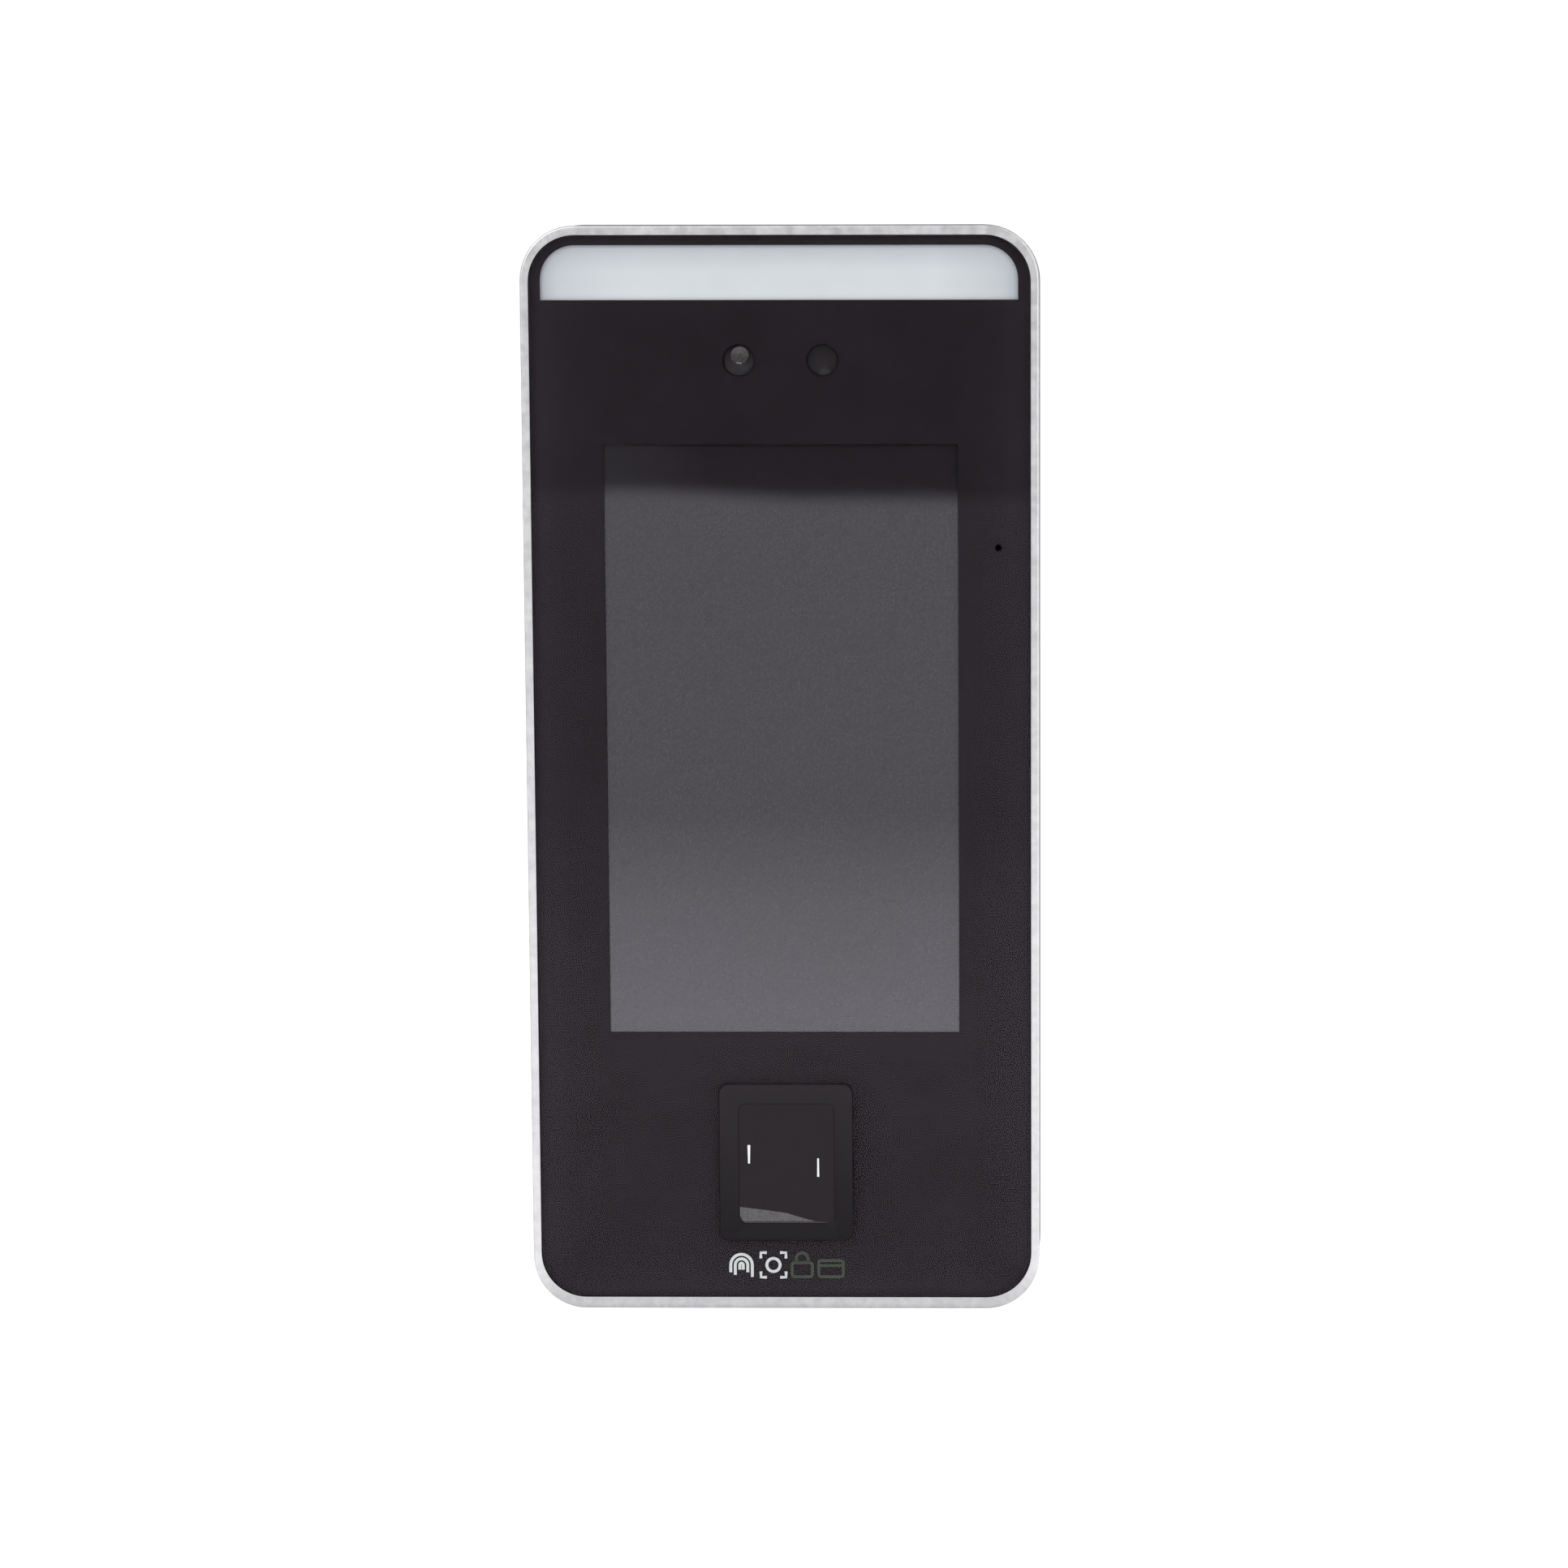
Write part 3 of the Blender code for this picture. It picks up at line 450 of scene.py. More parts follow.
def green_board():
    """Green solder mask, slightly cloudy over the glass weave of the board."""
    surface = Surface("green_board", IOR=1.5)
    cloud = surface.ranged(surface.noise(0.008, 3.0), 0.0, 1.0)
    surface.colour(surface.blended(cloud, (0.008, 0.070, 0.033), (0.012, 0.092, 0.044)))
    weave = surface.maths("PINGPONG", surface.axis("X"), 0.0005)
    surface.roughness(surface.ranged(weave, 0.30, 0.38, 0.0, 0.0005))
    surface.bump(surface.ranged(weave, 0.0, 1.0, 0.0, 0.0005), 0.000006)
    return surface.material


def amber_film():
    """Amber polyimide film with copper tracks showing through."""
    surface = Surface("amber_film", Roughness=0.35)
    tracks = surface.maths("PINGPONG", surface.axis("X"), 0.0004)
    level = surface.ranged(tracks, 0.0, 1.0, 0.00015, 0.00025)
    surface.colour(surface.blended(level, (0.30, 0.13, 0.03), (0.48, 0.26, 0.07)))
    return surface.material


def print_or_glint_white(name, colour, strength):
    """Printed marks and painted glints in one colour; a painted glint may glow a little."""
    surface = Surface(name, Roughness=0.5)
    tone = surface.ranged(surface.noise(0.0008, 2.0), 0.0, 1.0)
    surface.colour(surface.blended(tone, tuple(part * 0.92 for part in colour), colour))
    surface.shader.inputs["Emission Color"].default_value = (*colour, 1.0)
    surface.shader.inputs["Emission Strength"].default_value = strength
    return surface.material


MATERIALS = {
    "clear_glass": cover_glass(),
    "black_print": printed_ink(),
    "blasted_aluminium": blasted_aluminium(),
    "black_abs": moulded_plastic("black_abs", (0.020, 0.020, 0.021), 0.00035, 0.52, 0.00004),
    "gloss_black": screen_off(),
    "black_rubber": rubber(),
    "opal_acrylic": opal_acrylic(),
    "white_nylon": moulded_plastic("white_nylon", (0.66, 0.64, 0.58), 0.0006, 0.42, 0.00001),
    "green_board": green_board(),
    "amber_film": amber_film(),
    "zinc_steel": turned_metal("zinc_plate", (0.62, 0.63, 0.65)),
    "brass": turned_metal("brass", (0.72, 0.50, 0.22)),
    "coated_glass": lens_glass(),
}
SPECIAL = {
    "wall_bracket": zinc_steel(),
    "reader_bezel": reader_black(),
    "microphone": microphone_hole_shade(),
    "sensor_glass": sensor_coat(),
}


# ---------------------------------------------------------------- CAD nodes


def smoothing_group():
    """Geometry nodes that shade a faceted part smooth, except along edges sharper than a limit."""
    group = bpy.data.node_groups.new("smooth_by_angle", "GeometryNodeTree")
    for way in ("INPUT", "OUTPUT"):
        group.interface.new_socket("Geometry", in_out=way, socket_type="NodeSocketGeometry")
    nodes = group.nodes
    start = nodes.new("NodeGroupInput")
    end = nodes.new("NodeGroupOutput")
    faces = nodes.new("GeometryNodeSetShadeSmooth")
    faces.domain = "FACE"
    angle = nodes.new("GeometryNodeInputMeshEdgeAngle")
    limit = nodes.new("FunctionNodeCompare")
    limit.operation = "GREATER_THAN"
    limit.inputs["B"].default_value = SMOOTH_ANGLE
    edges = nodes.new("GeometryNodeSetShadeSmooth")
    edges.domain = "EDGE"
    edges.inputs["Shade Smooth"].default_value = False
    link = group.links.new
    link(start.outputs[0], faces.inputs["Geometry"])
    link(faces.outputs[0], edges.inputs["Geometry"])
    link(angle.outputs["Unsigned Angle"], limit.inputs["A"])
    link(limit.outputs[0], edges.inputs["Selection"])
    link(edges.outputs[0], end.inputs[0])
    return group


SMOOTHING = smoothing_group()
EDGE_ROUNDS = {
    "front_frame": 0.00018,
    "rear_cover": 0.00015,
    "wall_bracket": 0.00015,
    "usb_flap": 0.0002,
    "reader_bezel": 0.0001,
    "security_screw": 0.0001,
    "reset_button": 0.0001,
    "tamper_plunger": 0.0001,
}


def refine(node):
    """Join a CAD node's facets, round its visible edges a little, and shade it smooth."""
    weld = node.modifiers.new("weld", "WELD")
    weld.merge_threshold = 1e-6
    flatten = node.modifiers.new("flatten", "DECIMATE")
    flatten.decimate_type = "DISSOLVE"
    flatten.angle_limit = math.radians(0.3)
    if node.name in EDGE_ROUNDS:
        bevel = node.modifiers.new("edge", "BEVEL")
        bevel.limit_method = "ANGLE"
        bevel.angle_limit = math.radians(50)
        bevel.width = EDGE_ROUNDS[node.name]
        bevel.segments = 2
        bevel.use_clamp_overlap = True
    smooth = node.modifiers.new("smooth", "NODES")
    smooth.node_group = SMOOTHING
    normals = node.modifiers.new("normals", "WEIGHTED_NORMAL")
    normals.keep_sharp = True


def dress_cad_nodes():
    """Give every CAD node its material and its smooth shading."""
    slots = {part["node"]: part["material_slot"] for part in frame["record"]["subparts"]}
    for name, node in NODES.items():
        material = SPECIAL.get(name, MATERIALS[slots[name]])
        for slot in node.material_slots:
            slot.material = material
        refine(node)


# ---------------------------------------------------------------- fine pieces


def new_piece(name, mesh, material, body):
    """A bmesh in the frame's own coordinates, made an object that rides on a body."""
    data = bpy.data.meshes.new(name)
    mesh.to_mesh(data)
    mesh.free()
    data.materials.append(material)
    data.shade_smooth()
    data.set_sharp_from_angle(angle=SMOOTH_ANGLE)
    obj = bpy.data.objects.new(name, data)
    bpy.context.scene.collection.objects.link(obj)
    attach(obj, body)


def stroke(mesh, points, width, front, thick):
    """A flat line of even width along (x, z) points, facing -Y, with square ends."""
    points = [Vector(point) for point in points]
    rows = []
    for index, point in enumerate(points):
        before = points[max(index - 1, 0)]
        after = points[min(index + 1, len(points) - 1)]
        along = (after - before).normalized()
        across = Vector((-along.y, along.x)) * (width / 2)
        rows.append(
            [
                mesh.verts.new((place.x, front + depth, place.y))
                for place in (point - across, point + across)
                for depth in (0.0, thick)
            ]
        )
    for here, after in zip(rows, rows[1:]):
        for first, second in ((0, 1), (1, 3), (3, 2), (2, 0)):
            mesh.faces.new((here[first], here[second], after[second], after[first]))
    for row in (rows[0], rows[-1]):
        mesh.faces.new((row[0], row[1], row[3], row[2]))


def arc(centre, radius, start, end, steps=14):
    """Points on an arc from one angle to another, in degrees."""
    angles = [math.radians(start + (end - start) * step / steps) for step in range(steps + 1)]
    return [
        (centre[0] + radius * math.cos(angle), centre[1] + radius * math.sin(angle))
        for angle in angles
    ]


# The band round the glass: how far out from the glass it starts, its width, its corner, its depth
BAND_NEAR = 0.00001
BAND_WIDE = 0.00008
BAND_CORNER = 0.00835
BAND_SUNK = 0.00005
PRINT_THICK = 0.00005
PRINT_PLACE = GLASS_BACK + 0.0001
PICTOGRAM_Z = -0.0929
PICTOGRAM_LINE = 0.00055


def print_stroke(mesh, points, width=PICTOGRAM_LINE):
    """A stroke of the print behind the glass."""
    stroke(mesh, points, width, PRINT_PLACE, PRINT_THICK)


def fingerprint_sign(mesh, x):
    """Three nested ridges and a core."""
    centre = (x, PICTOGRAM_Z)
    legs = ((0.9, 0.9), (1.9, 1.4), (1.4, 2.3))
    for ridge, (left_leg, right_leg) in enumerate(legs):
        radius = (0.32 + 0.85 * ridge) * MM
        points = [(x - radius, centre[1] - left_leg * MM)]
        points += arc(centre, radius, 180, 0)
        points += [(x + radius, centre[1] - right_leg * MM)]
        print_stroke(mesh, points)


def rounded_frame(x, z, width, height, radius, steps=5):
    """Points round a rounded rectangle, closed on itself."""
    corners = (
        (x + width / 2 - radius, z + height / 2 - radius, 0),
        (x - width / 2 + radius, z + height / 2 - radius, 90),
        (x - width / 2 + radius, z - height / 2 + radius, 180),
        (x + width / 2 - radius, z - height / 2 + radius, 270),
    )
    points = []
    for corner_x, corner_z, start in corners:
        points += arc((corner_x, corner_z), radius, start, start + 90, steps)
    middle = ((points[0][0] + points[-1][0]) / 2, (points[0][1] + points[-1][1]) / 2)
    return [middle, *points, middle]


def face_sign(mesh, x):
    """A plain head between four corner marks."""
    print_stroke(mesh, [*arc((x, PICTOGRAM_Z), 0.00125, 90, 450, 24)])
    reach = 0.00235
    arm = 0.0011
    for side in (-1, 1):
        for level in (-1, 1):
            corner = (x + side * reach, PICTOGRAM_Z + level * reach)
            points = [
                (corner[0] - side * arm, corner[1]),
                corner,
                (corner[0], corner[1] - level * arm),
            ]
            print_stroke(mesh, points)


def lock_sign(mesh, x):
    """A padlock: its body and its shackle."""
    low = PICTOGRAM_Z - 0.0009
    print_stroke(mesh, rounded_frame(x, low, 0.0038, 0.0027, 0.0005))
    shackle = [(x + 0.0011, low + 0.0014)]
    shackle += arc((x, low + 0.0021), 0.0011, 0, 180)
    shackle += [(x - 0.0011, low + 0.0014)]
    print_stroke(mesh, shackle)


def card_sign(mesh, x):
    """A card with one stripe."""
    low = PICTOGRAM_Z - 0.0007
    print_stroke(mesh, rounded_frame(x, low, 0.0046, 0.0031, 0.0005))
    print_stroke(mesh, [(x - 0.0021, low + 0.0006), (x + 0.0021, low + 0.0006)])


def make_pictograms():
    """Plain signs for finger, face, lock and card, printed behind the glass below the reader."""
    white = print_or_glint_white("print_white", (0.66, 0.66, 0.67), 0.0)
    green = print_or_glint_white("print_green", (0.029, 0.041, 0.024), 0.0)
    mesh = bmesh.new()
    fingerprint_sign(mesh, -0.0085)
    face_sign(mesh, -0.0025)
    new_piece("pictograms_white", mesh, white, "terminal")
    mesh = bmesh.new()
    lock_sign(mesh, 0.0029)
    card_sign(mesh, 0.0083)
    new_piece("pictograms_green", mesh, green, "terminal")


def plate(mesh, outline, front, thick):
    """A flat plate from an outline of (x, z) points given anticlockwise seen from the front."""
    near = [mesh.verts.new((x, front, z)) for x, z in outline]
    far = [mesh.verts.new((x, front + thick, z)) for x, z in outline]
    mesh.faces.new(near)
    mesh.faces.new(list(reversed(far)))
    count = len(outline)
    for index in range(count):
        after = (index + 1) % count
        mesh.faces.new((near[after], near[index], far[index], far[after]))


def make_glass_band():
    """The black edge sealing in the narrow gap between the glass and its pocket."""
    low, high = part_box("front_glass")
    mesh = bmesh.new()
    middle = ((low.x + high.x) / 2, (low.z + high.z) / 2)
    width = high.x - low.x + 2 * BAND_NEAR
    height = high.z - low.z + 2 * BAND_NEAR
    corner = BAND_CORNER + BAND_NEAR
    front = low.y + BAND_SUNK
    flat_frame(mesh, middle, width, height, corner, BAND_WIDE, front, high.y - low.y)
    new_piece("glass_edge_band", mesh, MATERIALS["black_print"], "terminal")


def flat_frame(mesh, middle, width, height, corner, band, front, thick):
    """A flat frame facing -Y round a rounded rectangle: band is how far it reaches outwards."""
    rows = []
    for grow, depth in ((0.0, 0.0), (band, 0.0), (band, thick), (0.0, thick)):
        size = (width + 2 * grow, height + 2 * grow)
        outline = rounded_frame(*middle, *size, corner + grow, 16)[1:-1]
        rows.append([mesh.verts.new((x, front + depth, z)) for x, z in outline])
    count = len(rows[0])
    for here, there in zip(rows, rows[1:] + rows[:1]):
        for index in range(count):
            after = (index + 1) % count
            mesh.faces.new((here[index], there[index], there[after], here[after]))


def make_gap_shade_rings():
    """Dull black rings in the gaps round the reader's bezel and round its sensor, put there as painted
    shade of these gaps.
    """
    # Painted shade: each ring stands for the shade in a narrow gap
    gap_rings = (
        # (name, brightness, piece inside, how far its flange reaches out, its corner, gap, front)
        ("reader_gap_shade", 0.018, "reader_bezel", 0.0015, 0.0017, 0.00018, GLASS_FRONT + 0.0001),
        ("sensor_gap_shade", 0.026, "sensor_glass", 0.0, 0.0010, 0.00013, SENSOR_LOW.y + 0.00004),
    )
    for name, brightness, inside, flange, corner, gap, front in gap_rings:
        low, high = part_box(inside)
        middle = ((low.x + high.x) / 2, (low.z + high.z) / 2)
        width = high.x - low.x - 2 * flange
        height = high.z - low.z - 2 * flange
        mesh = bmesh.new()
        flat_frame(mesh, middle, width, height, corner, gap, front, 0.0004)
        new_piece(name, mesh, dull_black(name, brightness), "terminal")


def make_reader_painted_glints():
    """Painted glints: two bright strips on the sensor's glass that glow a little, and the painted
    reflection of its prism's lit facet.
    """
    # Painted glints: two bright strips that glow a little on the sensor's glass
    glint_white = print_or_glint_white("sensor_glint", (0.84, 0.84, 0.84), 0.04)
    front = SENSOR_LOW.y - 0.00003
    thick = 0.00006
    tall = 0.0035
    glint_strips = (
        ("left", -0.00693, -0.07005, 0.00026, 0.00018),
        ("right", 0.00600, -0.07257, 0.00016, 0.00020),
    )
    for side, x, top, wide_top, wide_low in glint_strips:
        mesh = bmesh.new()
        low = top - tall
        outline = [(x - wide_low, low), (x + wide_low, low), (x + wide_top, top), (x - wide_top, top)]
        plate(mesh, outline, front, thick)
        new_piece(f"sensor_glint_{side}", mesh, glint_white, "terminal")
    # Painted reflection: the prism's lit facet and its edge, drawn as flat grey plates
    mesh = bmesh.new()
    outline = [
        (-0.0081, -0.08452),
        (0.0054, -0.08452),
        (0.0040, -0.0842),
        (0.0018, -0.08355),
        (0.0001, -0.0830),
        (-0.0040, -0.0824),
        (-0.00872, -0.08185),
        (-0.00865, -0.0837),
    ]
    plate(mesh, outline, front, thick)
    new_piece("prism_painted_reflection", mesh, painted_reflection_grey("prism_painted_reflection", 0.120), "terminal")
    mesh = bmesh.new()
    outline = [
        (-0.0077, -0.08487),
        (0.0081, -0.08487),
        (0.0079, -0.08478),
        (0.0050, -0.08452),
        (-0.0081, -0.08452),
    ]
    plate(mesh, outline, front, thick)
    new_piece("prism_edge_painted_reflection", mesh, painted_reflection_grey("prism_edge_painted_reflection", 0.054), "terminal")


def painted_reflection_grey(name, brightness):
    """Grey, finely grained plate of about this brightness: a painted reflection of a glass facet."""
    surface = Surface(name, IOR=1.2)
    grain = surface.noise(0.0004, 3.0)
    darker = (brightness * 0.74, brightness * 0.69, brightness * 0.74)
    lighter = (brightness * 1.16, brightness * 1.08, brightness * 1.16)
    surface.colour(surface.blended(surface.ranged(grain, 0.0, 1.0), darker, lighter))
    surface.roughness(surface.ranged(grain, 0.3, 0.45))
    return surface.material


def dome(mesh, x, z, radius, rim, rise, rings=5, sides=40):
    """A shallow cap facing -Y with a flat back, from its rim's depth to rise in front of it."""
    rows = []
    for step in range(1, rings + 1):
        turn = math.pi / 2 * step / rings
        depth = rim - rise * math.cos(turn)
        reach = radius * math.sin(turn)
        rows.append(circle(mesh, x, z, reach, depth, sides))
    rows.append(circle(mesh, x, z, radius, rim + 0.00002, sides))
    apex = mesh.verts.new((x, rim - rise, z))
    for index in range(sides):
        after = (index + 1) % sides
        mesh.faces.new((apex, rows[0][index], rows[0][after]))
        for near, far in zip(rows, rows[1:]):
            mesh.faces.new((near[index], far[index], far[after], near[after]))
    mesh.faces.new(rows[-1])


def circle(mesh, x, z, radius, y, sides):
    """Points round a circle facing -Y."""
    return [
        mesh.verts.new((x + radius * math.cos(turn), y, z + radius * math.sin(turn)))
        for turn in (2 * math.pi * step / sides for step in range(sides))
    ]


def ring(mesh, x, z, inner, outer, front, thick, sides=48):
    """A flat ring facing -Y."""
    rows = [
        circle(mesh, x, z, radius, front + depth, sides)
        for radius, depth in ((inner, 0.0), (outer, 0.0), (outer, thick), (inner, thick))
    ]
    for here, there in zip(rows, rows[1:] + rows[:1]):
        for index in range(sides):
            after = (index + 1) % sides
            mesh.faces.new((here[index], there[index], there[after], here[after]))


def make_camera_details():
    """The visible camera's front element with its painted glint, and a thin stop ring round each lens.
    """
    x, z = ELEMENT_PLACE
    rim = LENS_LOW.y - 0.00002
    mesh = bmesh.new()
    dome(mesh, x, z, ELEMENT_RADIUS, rim, 0.00018)
    new_piece("visible_element", mesh, lens_element(), "terminal")
    mesh = bmesh.new()
    # Painted glint: a pale arc low on the front element
    stroke(mesh, arc((x, z), ELEMENT_RADIUS * 0.86, 245, 285, 8), 0.00022, rim - 0.00022, 0.00005)
    glint = print_or_glint_white("lens_painted_glint", (0.19, 0.18, 0.19), 0.0)
    new_piece("visible_glint", mesh, glint, "terminal")
    black = dull_black("stop_black", 0.0175)
    for name in ("visible", "infrared"):
        low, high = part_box(f"{name}_lens")
        mesh = bmesh.new()
        middle = ((low.x + high.x) / 2, (low.z + high.z) / 2)
        ring(mesh, *middle, 0.0027, 0.0030, low.y + 0.0001, 0.0004)
        new_piece(f"{name}_stop_ring", mesh, black, "terminal")


# ---------------------------------------------------------------- board in the wiring bay

BOARD_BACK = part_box("main_board")[1].y
HEADERS = {"power_header": 4, "lock_header": 6, "network_header": 5}
PIN_PITCH = 0.002
PIN_HALF = 0.00033
# How far in from the connector's mouth the pins start and end
PINS_NEAR = 0.00115
PINS_FAR = 0.0050
COPPER = 0.00003
# Traces: their widths, how much they fan out, and the runs across the board below the connectors
TRACE = 0.0004
POWER_TRACE = 0.0009
TRACE_FAN = 0.35
VIA_RADIUS = 0.00042
BUS_ROWS = (-0.0358, -0.0417, -0.0430)
BUS_LINKS = (-0.0225, -0.0130, 0.0065, 0.0125, 0.0205)
BUS_HALF = 0.0262
# Chip packages: pitch and half width of their legs
LEG_PITCH = 0.00127
LEG_HALF = 0.0002
BAY_TOP = -0.0125
MODULES = (
    # (x, z, length, width, height)
    (-0.0175, -0.0390, 0.0050, 0.0040, 0.0016),
    (0.0165, -0.0390, 0.0050, 0.0040, 0.0016),
)
CHIPS = (
    # (x, z, length, width, height)
    (-0.0250, -0.0180, 0.0020, 0.0012, 0.0006),
    (-0.0250, -0.0205, 0.0020, 0.0012, 0.0006),
    (-0.0105, -0.0375, 0.0020, 0.0012, 0.0008),
    (-0.0105, -0.0400, 0.0020, 0.0012, 0.0008),
    (-0.0060, -0.0385, 0.0032, 0.0016, 0.0010),
    (-0.0010, -0.0385, 0.0032, 0.0016, 0.0010),
    (0.0040, -0.0375, 0.0020, 0.0012, 0.0006),
    (0.0040, -0.0400, 0.0020, 0.0012, 0.0006),
    (0.0090, -0.0385, 0.0032, 0.0025, 0.0014),
    (0.0235, -0.0195, 0.0020, 0.0012, 0.0006),
    (0.0235, -0.0220, 0.0020, 0.0012, 0.0006),
    (0.0235, -0.0375, 0.0032, 0.0016, 0.0010),
    (-0.0245, -0.0385, 0.0032, 0.0016, 0.0010),
)


def header_pins():
    """(header, x of each pin, z of the row) for the connectors in the bay."""
    for name, count in HEADERS.items():
        low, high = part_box(name)
        middle = (low.x + high.x) / 2
        row = (low.z + high.z) / 2
        yield name, [middle + (index - (count - 1) / 2) * PIN_PITCH for index in range(count)], row


def slab(mesh, x, y, z, ease=0.0):
    """A block between (low, high) spans, with eased edges."""
    size = [high - low for low, high in (x, y, z)]
    middle = [(low + high) / 2 for low, high in (x, y, z)]
    matrix = Matrix.Translation(middle) @ Matrix.Diagonal((*size, 1.0))
    made = bmesh.ops.create_cube(mesh, size=1.0, matrix=matrix)
    if ease:
        edges = list({edge for vert in made["verts"] for edge in vert.link_edges})
        bmesh.ops.bevel(mesh, geom=edges, offset=ease, segments=1, affect="EDGES")


def make_header_pins():
    """Tinned pins in the three connectors, drawn over the frame's plain ones."""
    mesh = bmesh.new()
    for name, places, row in header_pins():
        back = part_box(name)[1].y
        for x in places:
            y = (back - PINS_FAR, back - PINS_NEAR)
            slab(mesh, (x - PIN_HALF, x + PIN_HALF), y, (row - PIN_HALF, row + PIN_HALF), 0.00012)
    tin = turned_metal("tinned_pin", (0.78, 0.77, 0.74))
    new_piece("header_pins", mesh, tin, "terminal")


def back_stroke(mesh, points, width, thick=COPPER):
    """A flat line on the board's back face."""
    stroke(mesh, points, width, BOARD_BACK, thick)


def make_traces():
    """Copper lines under the mask, from each header pin to its via above and below the row."""
    mesh = bmesh.new()
    vias = []
    for name, places, _ in header_pins():
        low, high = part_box(name)
        middle = (low.x + high.x) / 2
        for index, x in enumerate(places):
            fan = (x - middle) * TRACE_FAN
            bend = high.z + 0.0012 + 0.0006 * (index % 3)
            top = BAY_TOP - 0.0014 * (index % 3)
            end = x + fan
            width = POWER_TRACE if name == "power_header" else TRACE
            points = [(x, high.z - 0.0005), (x, bend), (end, bend + abs(fan)), (end, top)]
            back_stroke(mesh, points, width)
            vias.append((end, top))
            drop = low.z - 0.0016 - 0.0009 * (index % 2)
            back_stroke(mesh, [(x, low.z + 0.0005), (x, drop)], width)
            vias.append((x, drop))
    for z in BUS_ROWS:
        back_stroke(mesh, [(-BUS_HALF, z), (BUS_HALF, z)], TRACE)
    for x in BUS_LINKS:
        back_stroke(mesh, [(x, BUS_ROWS[0]), (x, BUS_ROWS[1])], TRACE)
        vias.append((x, BUS_ROWS[0]))
    mask = Surface("mask_over_copper", IOR=1.5)
    cloud = mask.ranged(mask.noise(0.004, 2.0), 0.0, 1.0)
    mask.colour(mask.blended(cloud, (0.030, 0.150, 0.070), (0.040, 0.180, 0.086)))
    mask.roughness(mask.ranged(cloud, 0.28, 0.34, 0.0, 1.0))
    new_piece("board_traces", mesh, mask.material, "terminal")
    mesh = bmesh.new()
    for x, z in vias:
        disc(mesh, x, z, VIA_RADIUS, BOARD_BACK, COPPER * 1.5)
    new_piece("board_vias", mesh, turned_metal("bare_tin", (0.74, 0.70, 0.60)), "terminal")


def disc(mesh, x, z, radius, y, thick, sides=16):
    """A thin disc on a face at y, towards +Y."""
    low = circle(mesh, x, z, radius, y, sides)
    high = circle(mesh, x, z, radius * 0.9, y + thick, sides)
    mesh.faces.new(low)
    mesh.faces.new(list(reversed(high)))
    for index in range(sides):
        after = (index + 1) % sides
        mesh.faces.new((low[after], low[index], high[index], high[after]))


def make_legend():
    """White outlines on the board round the connectors, with a dot by the first pin."""
    mesh = bmesh.new()
    for name, _, row in header_pins():
        low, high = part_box(name)
        width = high.x - low.x + 0.0009
        height = high.z - low.z + 0.0009
        middle = (low.x + high.x) / 2
        back_stroke(mesh, rounded_frame(middle, row, width, height, 0.0003), 0.00018, COPPER * 2)
        disc(mesh, low.x - 0.0011, low.z + 0.0006, 0.0003, BOARD_BACK, COPPER * 2)
    for x, z, length, width, height in MODULES:
        disc(mesh, x - length / 2 - 0.0006, z + width / 2, 0.00025, BOARD_BACK, COPPER * 2)
    legend = print_or_glint_white("legend_white", (0.72, 0.73, 0.70), 0.0)
    new_piece("board_legend", mesh, legend, "terminal")


def make_board_parts():
    """Small chips, resistors and capacitors on the board where the bay shows it."""
    bodies = bmesh.new()
    ends = bmesh.new()
    packages = bmesh.new()
    cap = 0.0004
    for x, z, length, width, height in CHIPS:
        y = (BOARD_BACK, BOARD_BACK + height)
        tall = (z - width / 2, z + width / 2)
        slab(bodies, (x - length / 2 + cap, x + length / 2 - cap), y, tall, 0.00005)
        for side in (-1, 1):
            outer = x + side * length / 2
            span = sorted((outer, outer - side * cap))
            slab(ends, span, (BOARD_BACK, y[1] + 0.00003), tall, 0.00008)
    for x, z, length, width, height in MODULES:
        y = (BOARD_BACK + 0.0002, BOARD_BACK + height)
        slab(packages, (x - length / 2, x + length / 2), y, (z - width / 2, z + width / 2), 0.00022)
        for index in range(4):
            leg = x + (index - 1.5) * LEG_PITCH
            across = (leg - LEG_HALF, leg + LEG_HALF)
            for side in (-1, 1):
                edge = z + side * width / 2
                foot = sorted((edge - side * 0.0001, edge + side * 0.0009))
                slab(ends, across, (BOARD_BACK, BOARD_BACK + 0.00025), foot)
                knee = sorted((edge - side * 0.0001, edge + side * 0.0003))
                slab(ends, across, (BOARD_BACK, BOARD_BACK + 0.0008), knee)
    brown = moulded_plastic("capacitor_brown", (0.16, 0.095, 0.05), 0.0004, 0.45, 0.000004)
    black = moulded_plastic("chip_black", (0.018, 0.018, 0.019), 0.0003, 0.5, 0.00001)
    tin = turned_metal("tinned_end", (0.76, 0.76, 0.75))
    new_piece("board_capacitors", bodies, brown, "terminal")
    new_piece("board_contacts", ends, tin, "terminal")
    new_piece("board_packages", packages, black, "terminal")


# ---------------------------------------------------------------- studio


def staged_mesh(name, corners, material):
    """One flat face that belongs to the studio and not to the object."""
    data = bpy.data.meshes.new(name)
    data.from_pydata(corners, [], [tuple(range(len(corners)))])
    data.materials.append(material)
    obj = bpy.data.objects.new(name, data)
    bpy.context.scene.collection.objects.link(obj)
    return obj


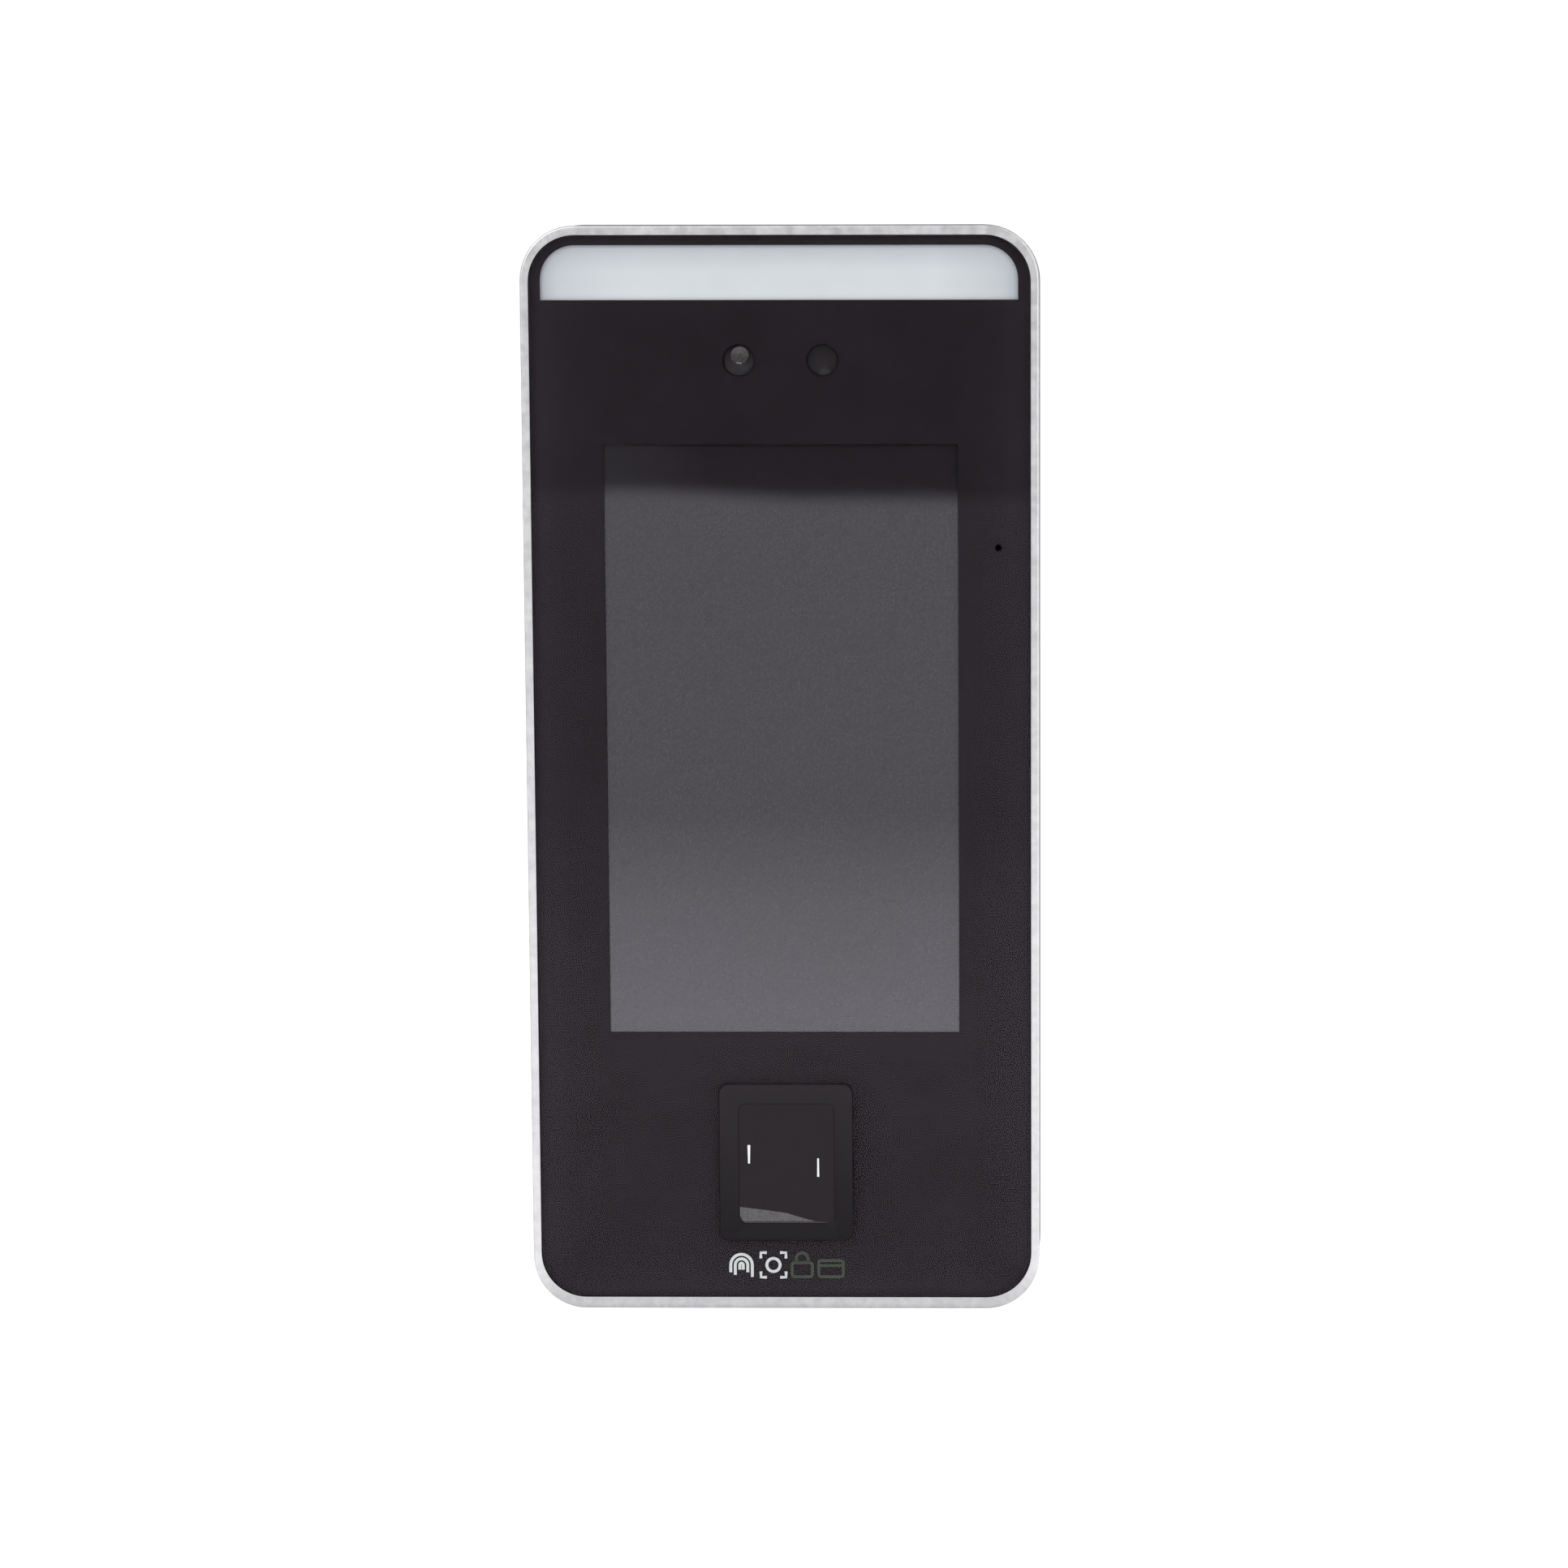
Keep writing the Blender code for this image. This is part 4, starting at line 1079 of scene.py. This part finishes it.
def make_floor():
    """A pale floor far below: it looks white to the camera but lights the object only softly."""
    surface = Surface("studio_floor", Roughness=0.7)
    tone = surface.ranged(surface.noise(0.4, 3.0), 0.0, 1.0)
    surface.colour(surface.blended(tone, (0.78, 0.78, 0.78), (0.82, 0.82, 0.82)))
    path = surface.add("ShaderNodeLightPath")
    glow = surface.ranged(path.outputs["Is Camera Ray"], FLOOR_GLOW_LIT, FLOOR_GLOW_SEEN, 0.0, 1.0)
    surface.shader.inputs["Emission Color"].default_value = (1.0, 1.0, 1.0, 1.0)
    surface.link(glow, surface.shader.inputs["Emission Strength"])
    z = cad_low.z - FLOOR_BELOW
    half = FLOOR_SIZE / 2
    corners = [(-half, -half, z), (half, -half, z), (half, half, z), (-half, half, z)]
    staged_mesh("studio_floor", corners, surface.material)


def reflected(on_glass, along=2):
    """Where on the reflection card a camera sees mirrored a place on the front glass, along x or z."""
    camera_ahead = GLASS_FRONT - CAMERA_PLACE[1]
    card_ahead = camera_ahead + CARD_AWAY
    start = CAMERA_PLACE[along]
    return start + (on_glass - start) * (camera_ahead + card_ahead) / camera_ahead


def make_reflection_card():
    """A tall card beyond the camera that only gloss sees: dark above a soft horizon.

    Its light, side and steps are shaped for the front view.
    """
    y = CAMERA_PLACE[1] - CARD_AWAY
    surface = Surface("reflection_card")
    height = surface.axis("Z")
    across = surface.axis("X")

    def spread(value, low, high, from_low, from_high, along=2):
        return surface.ranged(value, low, high, reflected(from_low, along), reflected(from_high, along))

    lift = spread(across, 0.0042, 0.0, -0.026, 0.002, 0)
    lifted = surface.maths("SUBTRACT", height, lift)
    lit = spread(lifted, 1.0, 0.0, HORIZON - 0.0014, HORIZON + 0.0016)
    level = surface.maths("ADD", 1.0, spread(height, 0.62, 0.0, -0.026, -0.007))
    level = surface.maths("ADD", level, spread(height, 0.36, 0.0, -0.045, -0.026))
    level = surface.maths("SUBTRACT", level, spread(height, 0.38, 0.0, -0.075, -0.047))
    level = surface.maths("SUBTRACT", level, spread(height, 0.50, 0.0, -0.099, -0.088))
    side = spread(across, 0.28, 0.0, -0.045, -0.015, 0)
    level = surface.maths("MAXIMUM", surface.maths("MULTIPLY", level, lit), side)
    light = surface.add("ShaderNodeEmission")
    light.inputs["Color"].default_value = (1.015, 0.965, 1.07, 1.0)
    surface.link(level, light.inputs["Strength"])
    output = surface.tree.nodes["Material Output"]
    surface.link(light.outputs[0], output.inputs["Surface"])
    low = reflected(cad_low.z) - CARD_MARGIN
    high = reflected(cad_high.z) + CARD_MARGIN
    left = reflected(cad_low.x, 0) - CARD_MARGIN
    right = reflected(cad_high.x, 0) + CARD_MARGIN
    corners = [(left, y, low), (right, y, low), (right, y, high), (left, y, high)]
    card = staged_mesh("reflection_card", corners, surface.material)
    card.visible_camera = False
    card.visible_diffuse = False
    card.visible_shadow = False


def make_light(name, place, size, power):
    """An area lamp aimed at the frame's origin."""
    data = bpy.data.lights.new(name, "AREA")
    data.shape = "RECTANGLE"
    data.size, data.size_y = size
    data.energy = power
    data.spread = math.pi
    lamp = bpy.data.objects.new(name, data)
    lamp.location = place
    aim = -Vector(place)
    lamp.rotation_euler = aim.to_track_quat("-Z", "Y").to_euler()
    bpy.context.scene.collection.objects.link(lamp)


def make_studio():
    """A white world, the floor, the reflection card and the lamps."""
    world = bpy.data.worlds.new("studio")
    bpy.context.scene.world = world
    world.use_nodes = True
    nodes = world.node_tree.nodes
    links = world.node_tree.links
    backdrop = nodes["Background"]
    backdrop.inputs["Color"].default_value = (1.0, 1.0, 1.0, 1.0)
    path = nodes.new("ShaderNodeLightPath")
    strength = nodes.new("ShaderNodeMapRange")
    strength.inputs["To Min"].default_value = WORLD_LIT
    strength.inputs["To Max"].default_value = WORLD_SEEN
    links.new(path.outputs["Is Camera Ray"], strength.inputs["Value"])
    links.new(strength.outputs["Result"], backdrop.inputs["Strength"])
    make_floor()
    make_reflection_card()
    for name, place, size, power in LAMPS:
        make_light(name, place, size, power)
    scene = bpy.context.scene
    scene.view_settings.view_transform = "Standard"


def make_camera():
    """The camera at the front view's place."""
    data = bpy.data.cameras.new("camera")
    data.sensor_width = 36.0
    data.lens = CAMERA_LENS
    data.shift_x = CAMERA_SHIFT
    data.clip_start = 0.01
    data.clip_end = 200.0
    camera = bpy.data.objects.new("camera", data)
    turn = (
        Matrix.Rotation(CAMERA_YAW, 4, "Z")
        @ Matrix.Rotation(CAMERA_PITCH, 4, "X")
        @ Matrix.Rotation(CAMERA_ROLL, 4, "Y")
        @ Matrix.Rotation(math.pi / 2, 4, "X")
    )
    camera.matrix_world = Matrix.Translation(CAMERA_PLACE) @ turn
    bpy.context.scene.collection.objects.link(camera)
    bpy.context.scene.camera = camera


make_camera()
make_studio()
dress_cad_nodes()
make_glass_band()
make_gap_shade_rings()
make_pictograms()
make_reader_painted_glints()
make_camera_details()
make_header_pins()
make_traces()
make_legend()
make_board_parts()
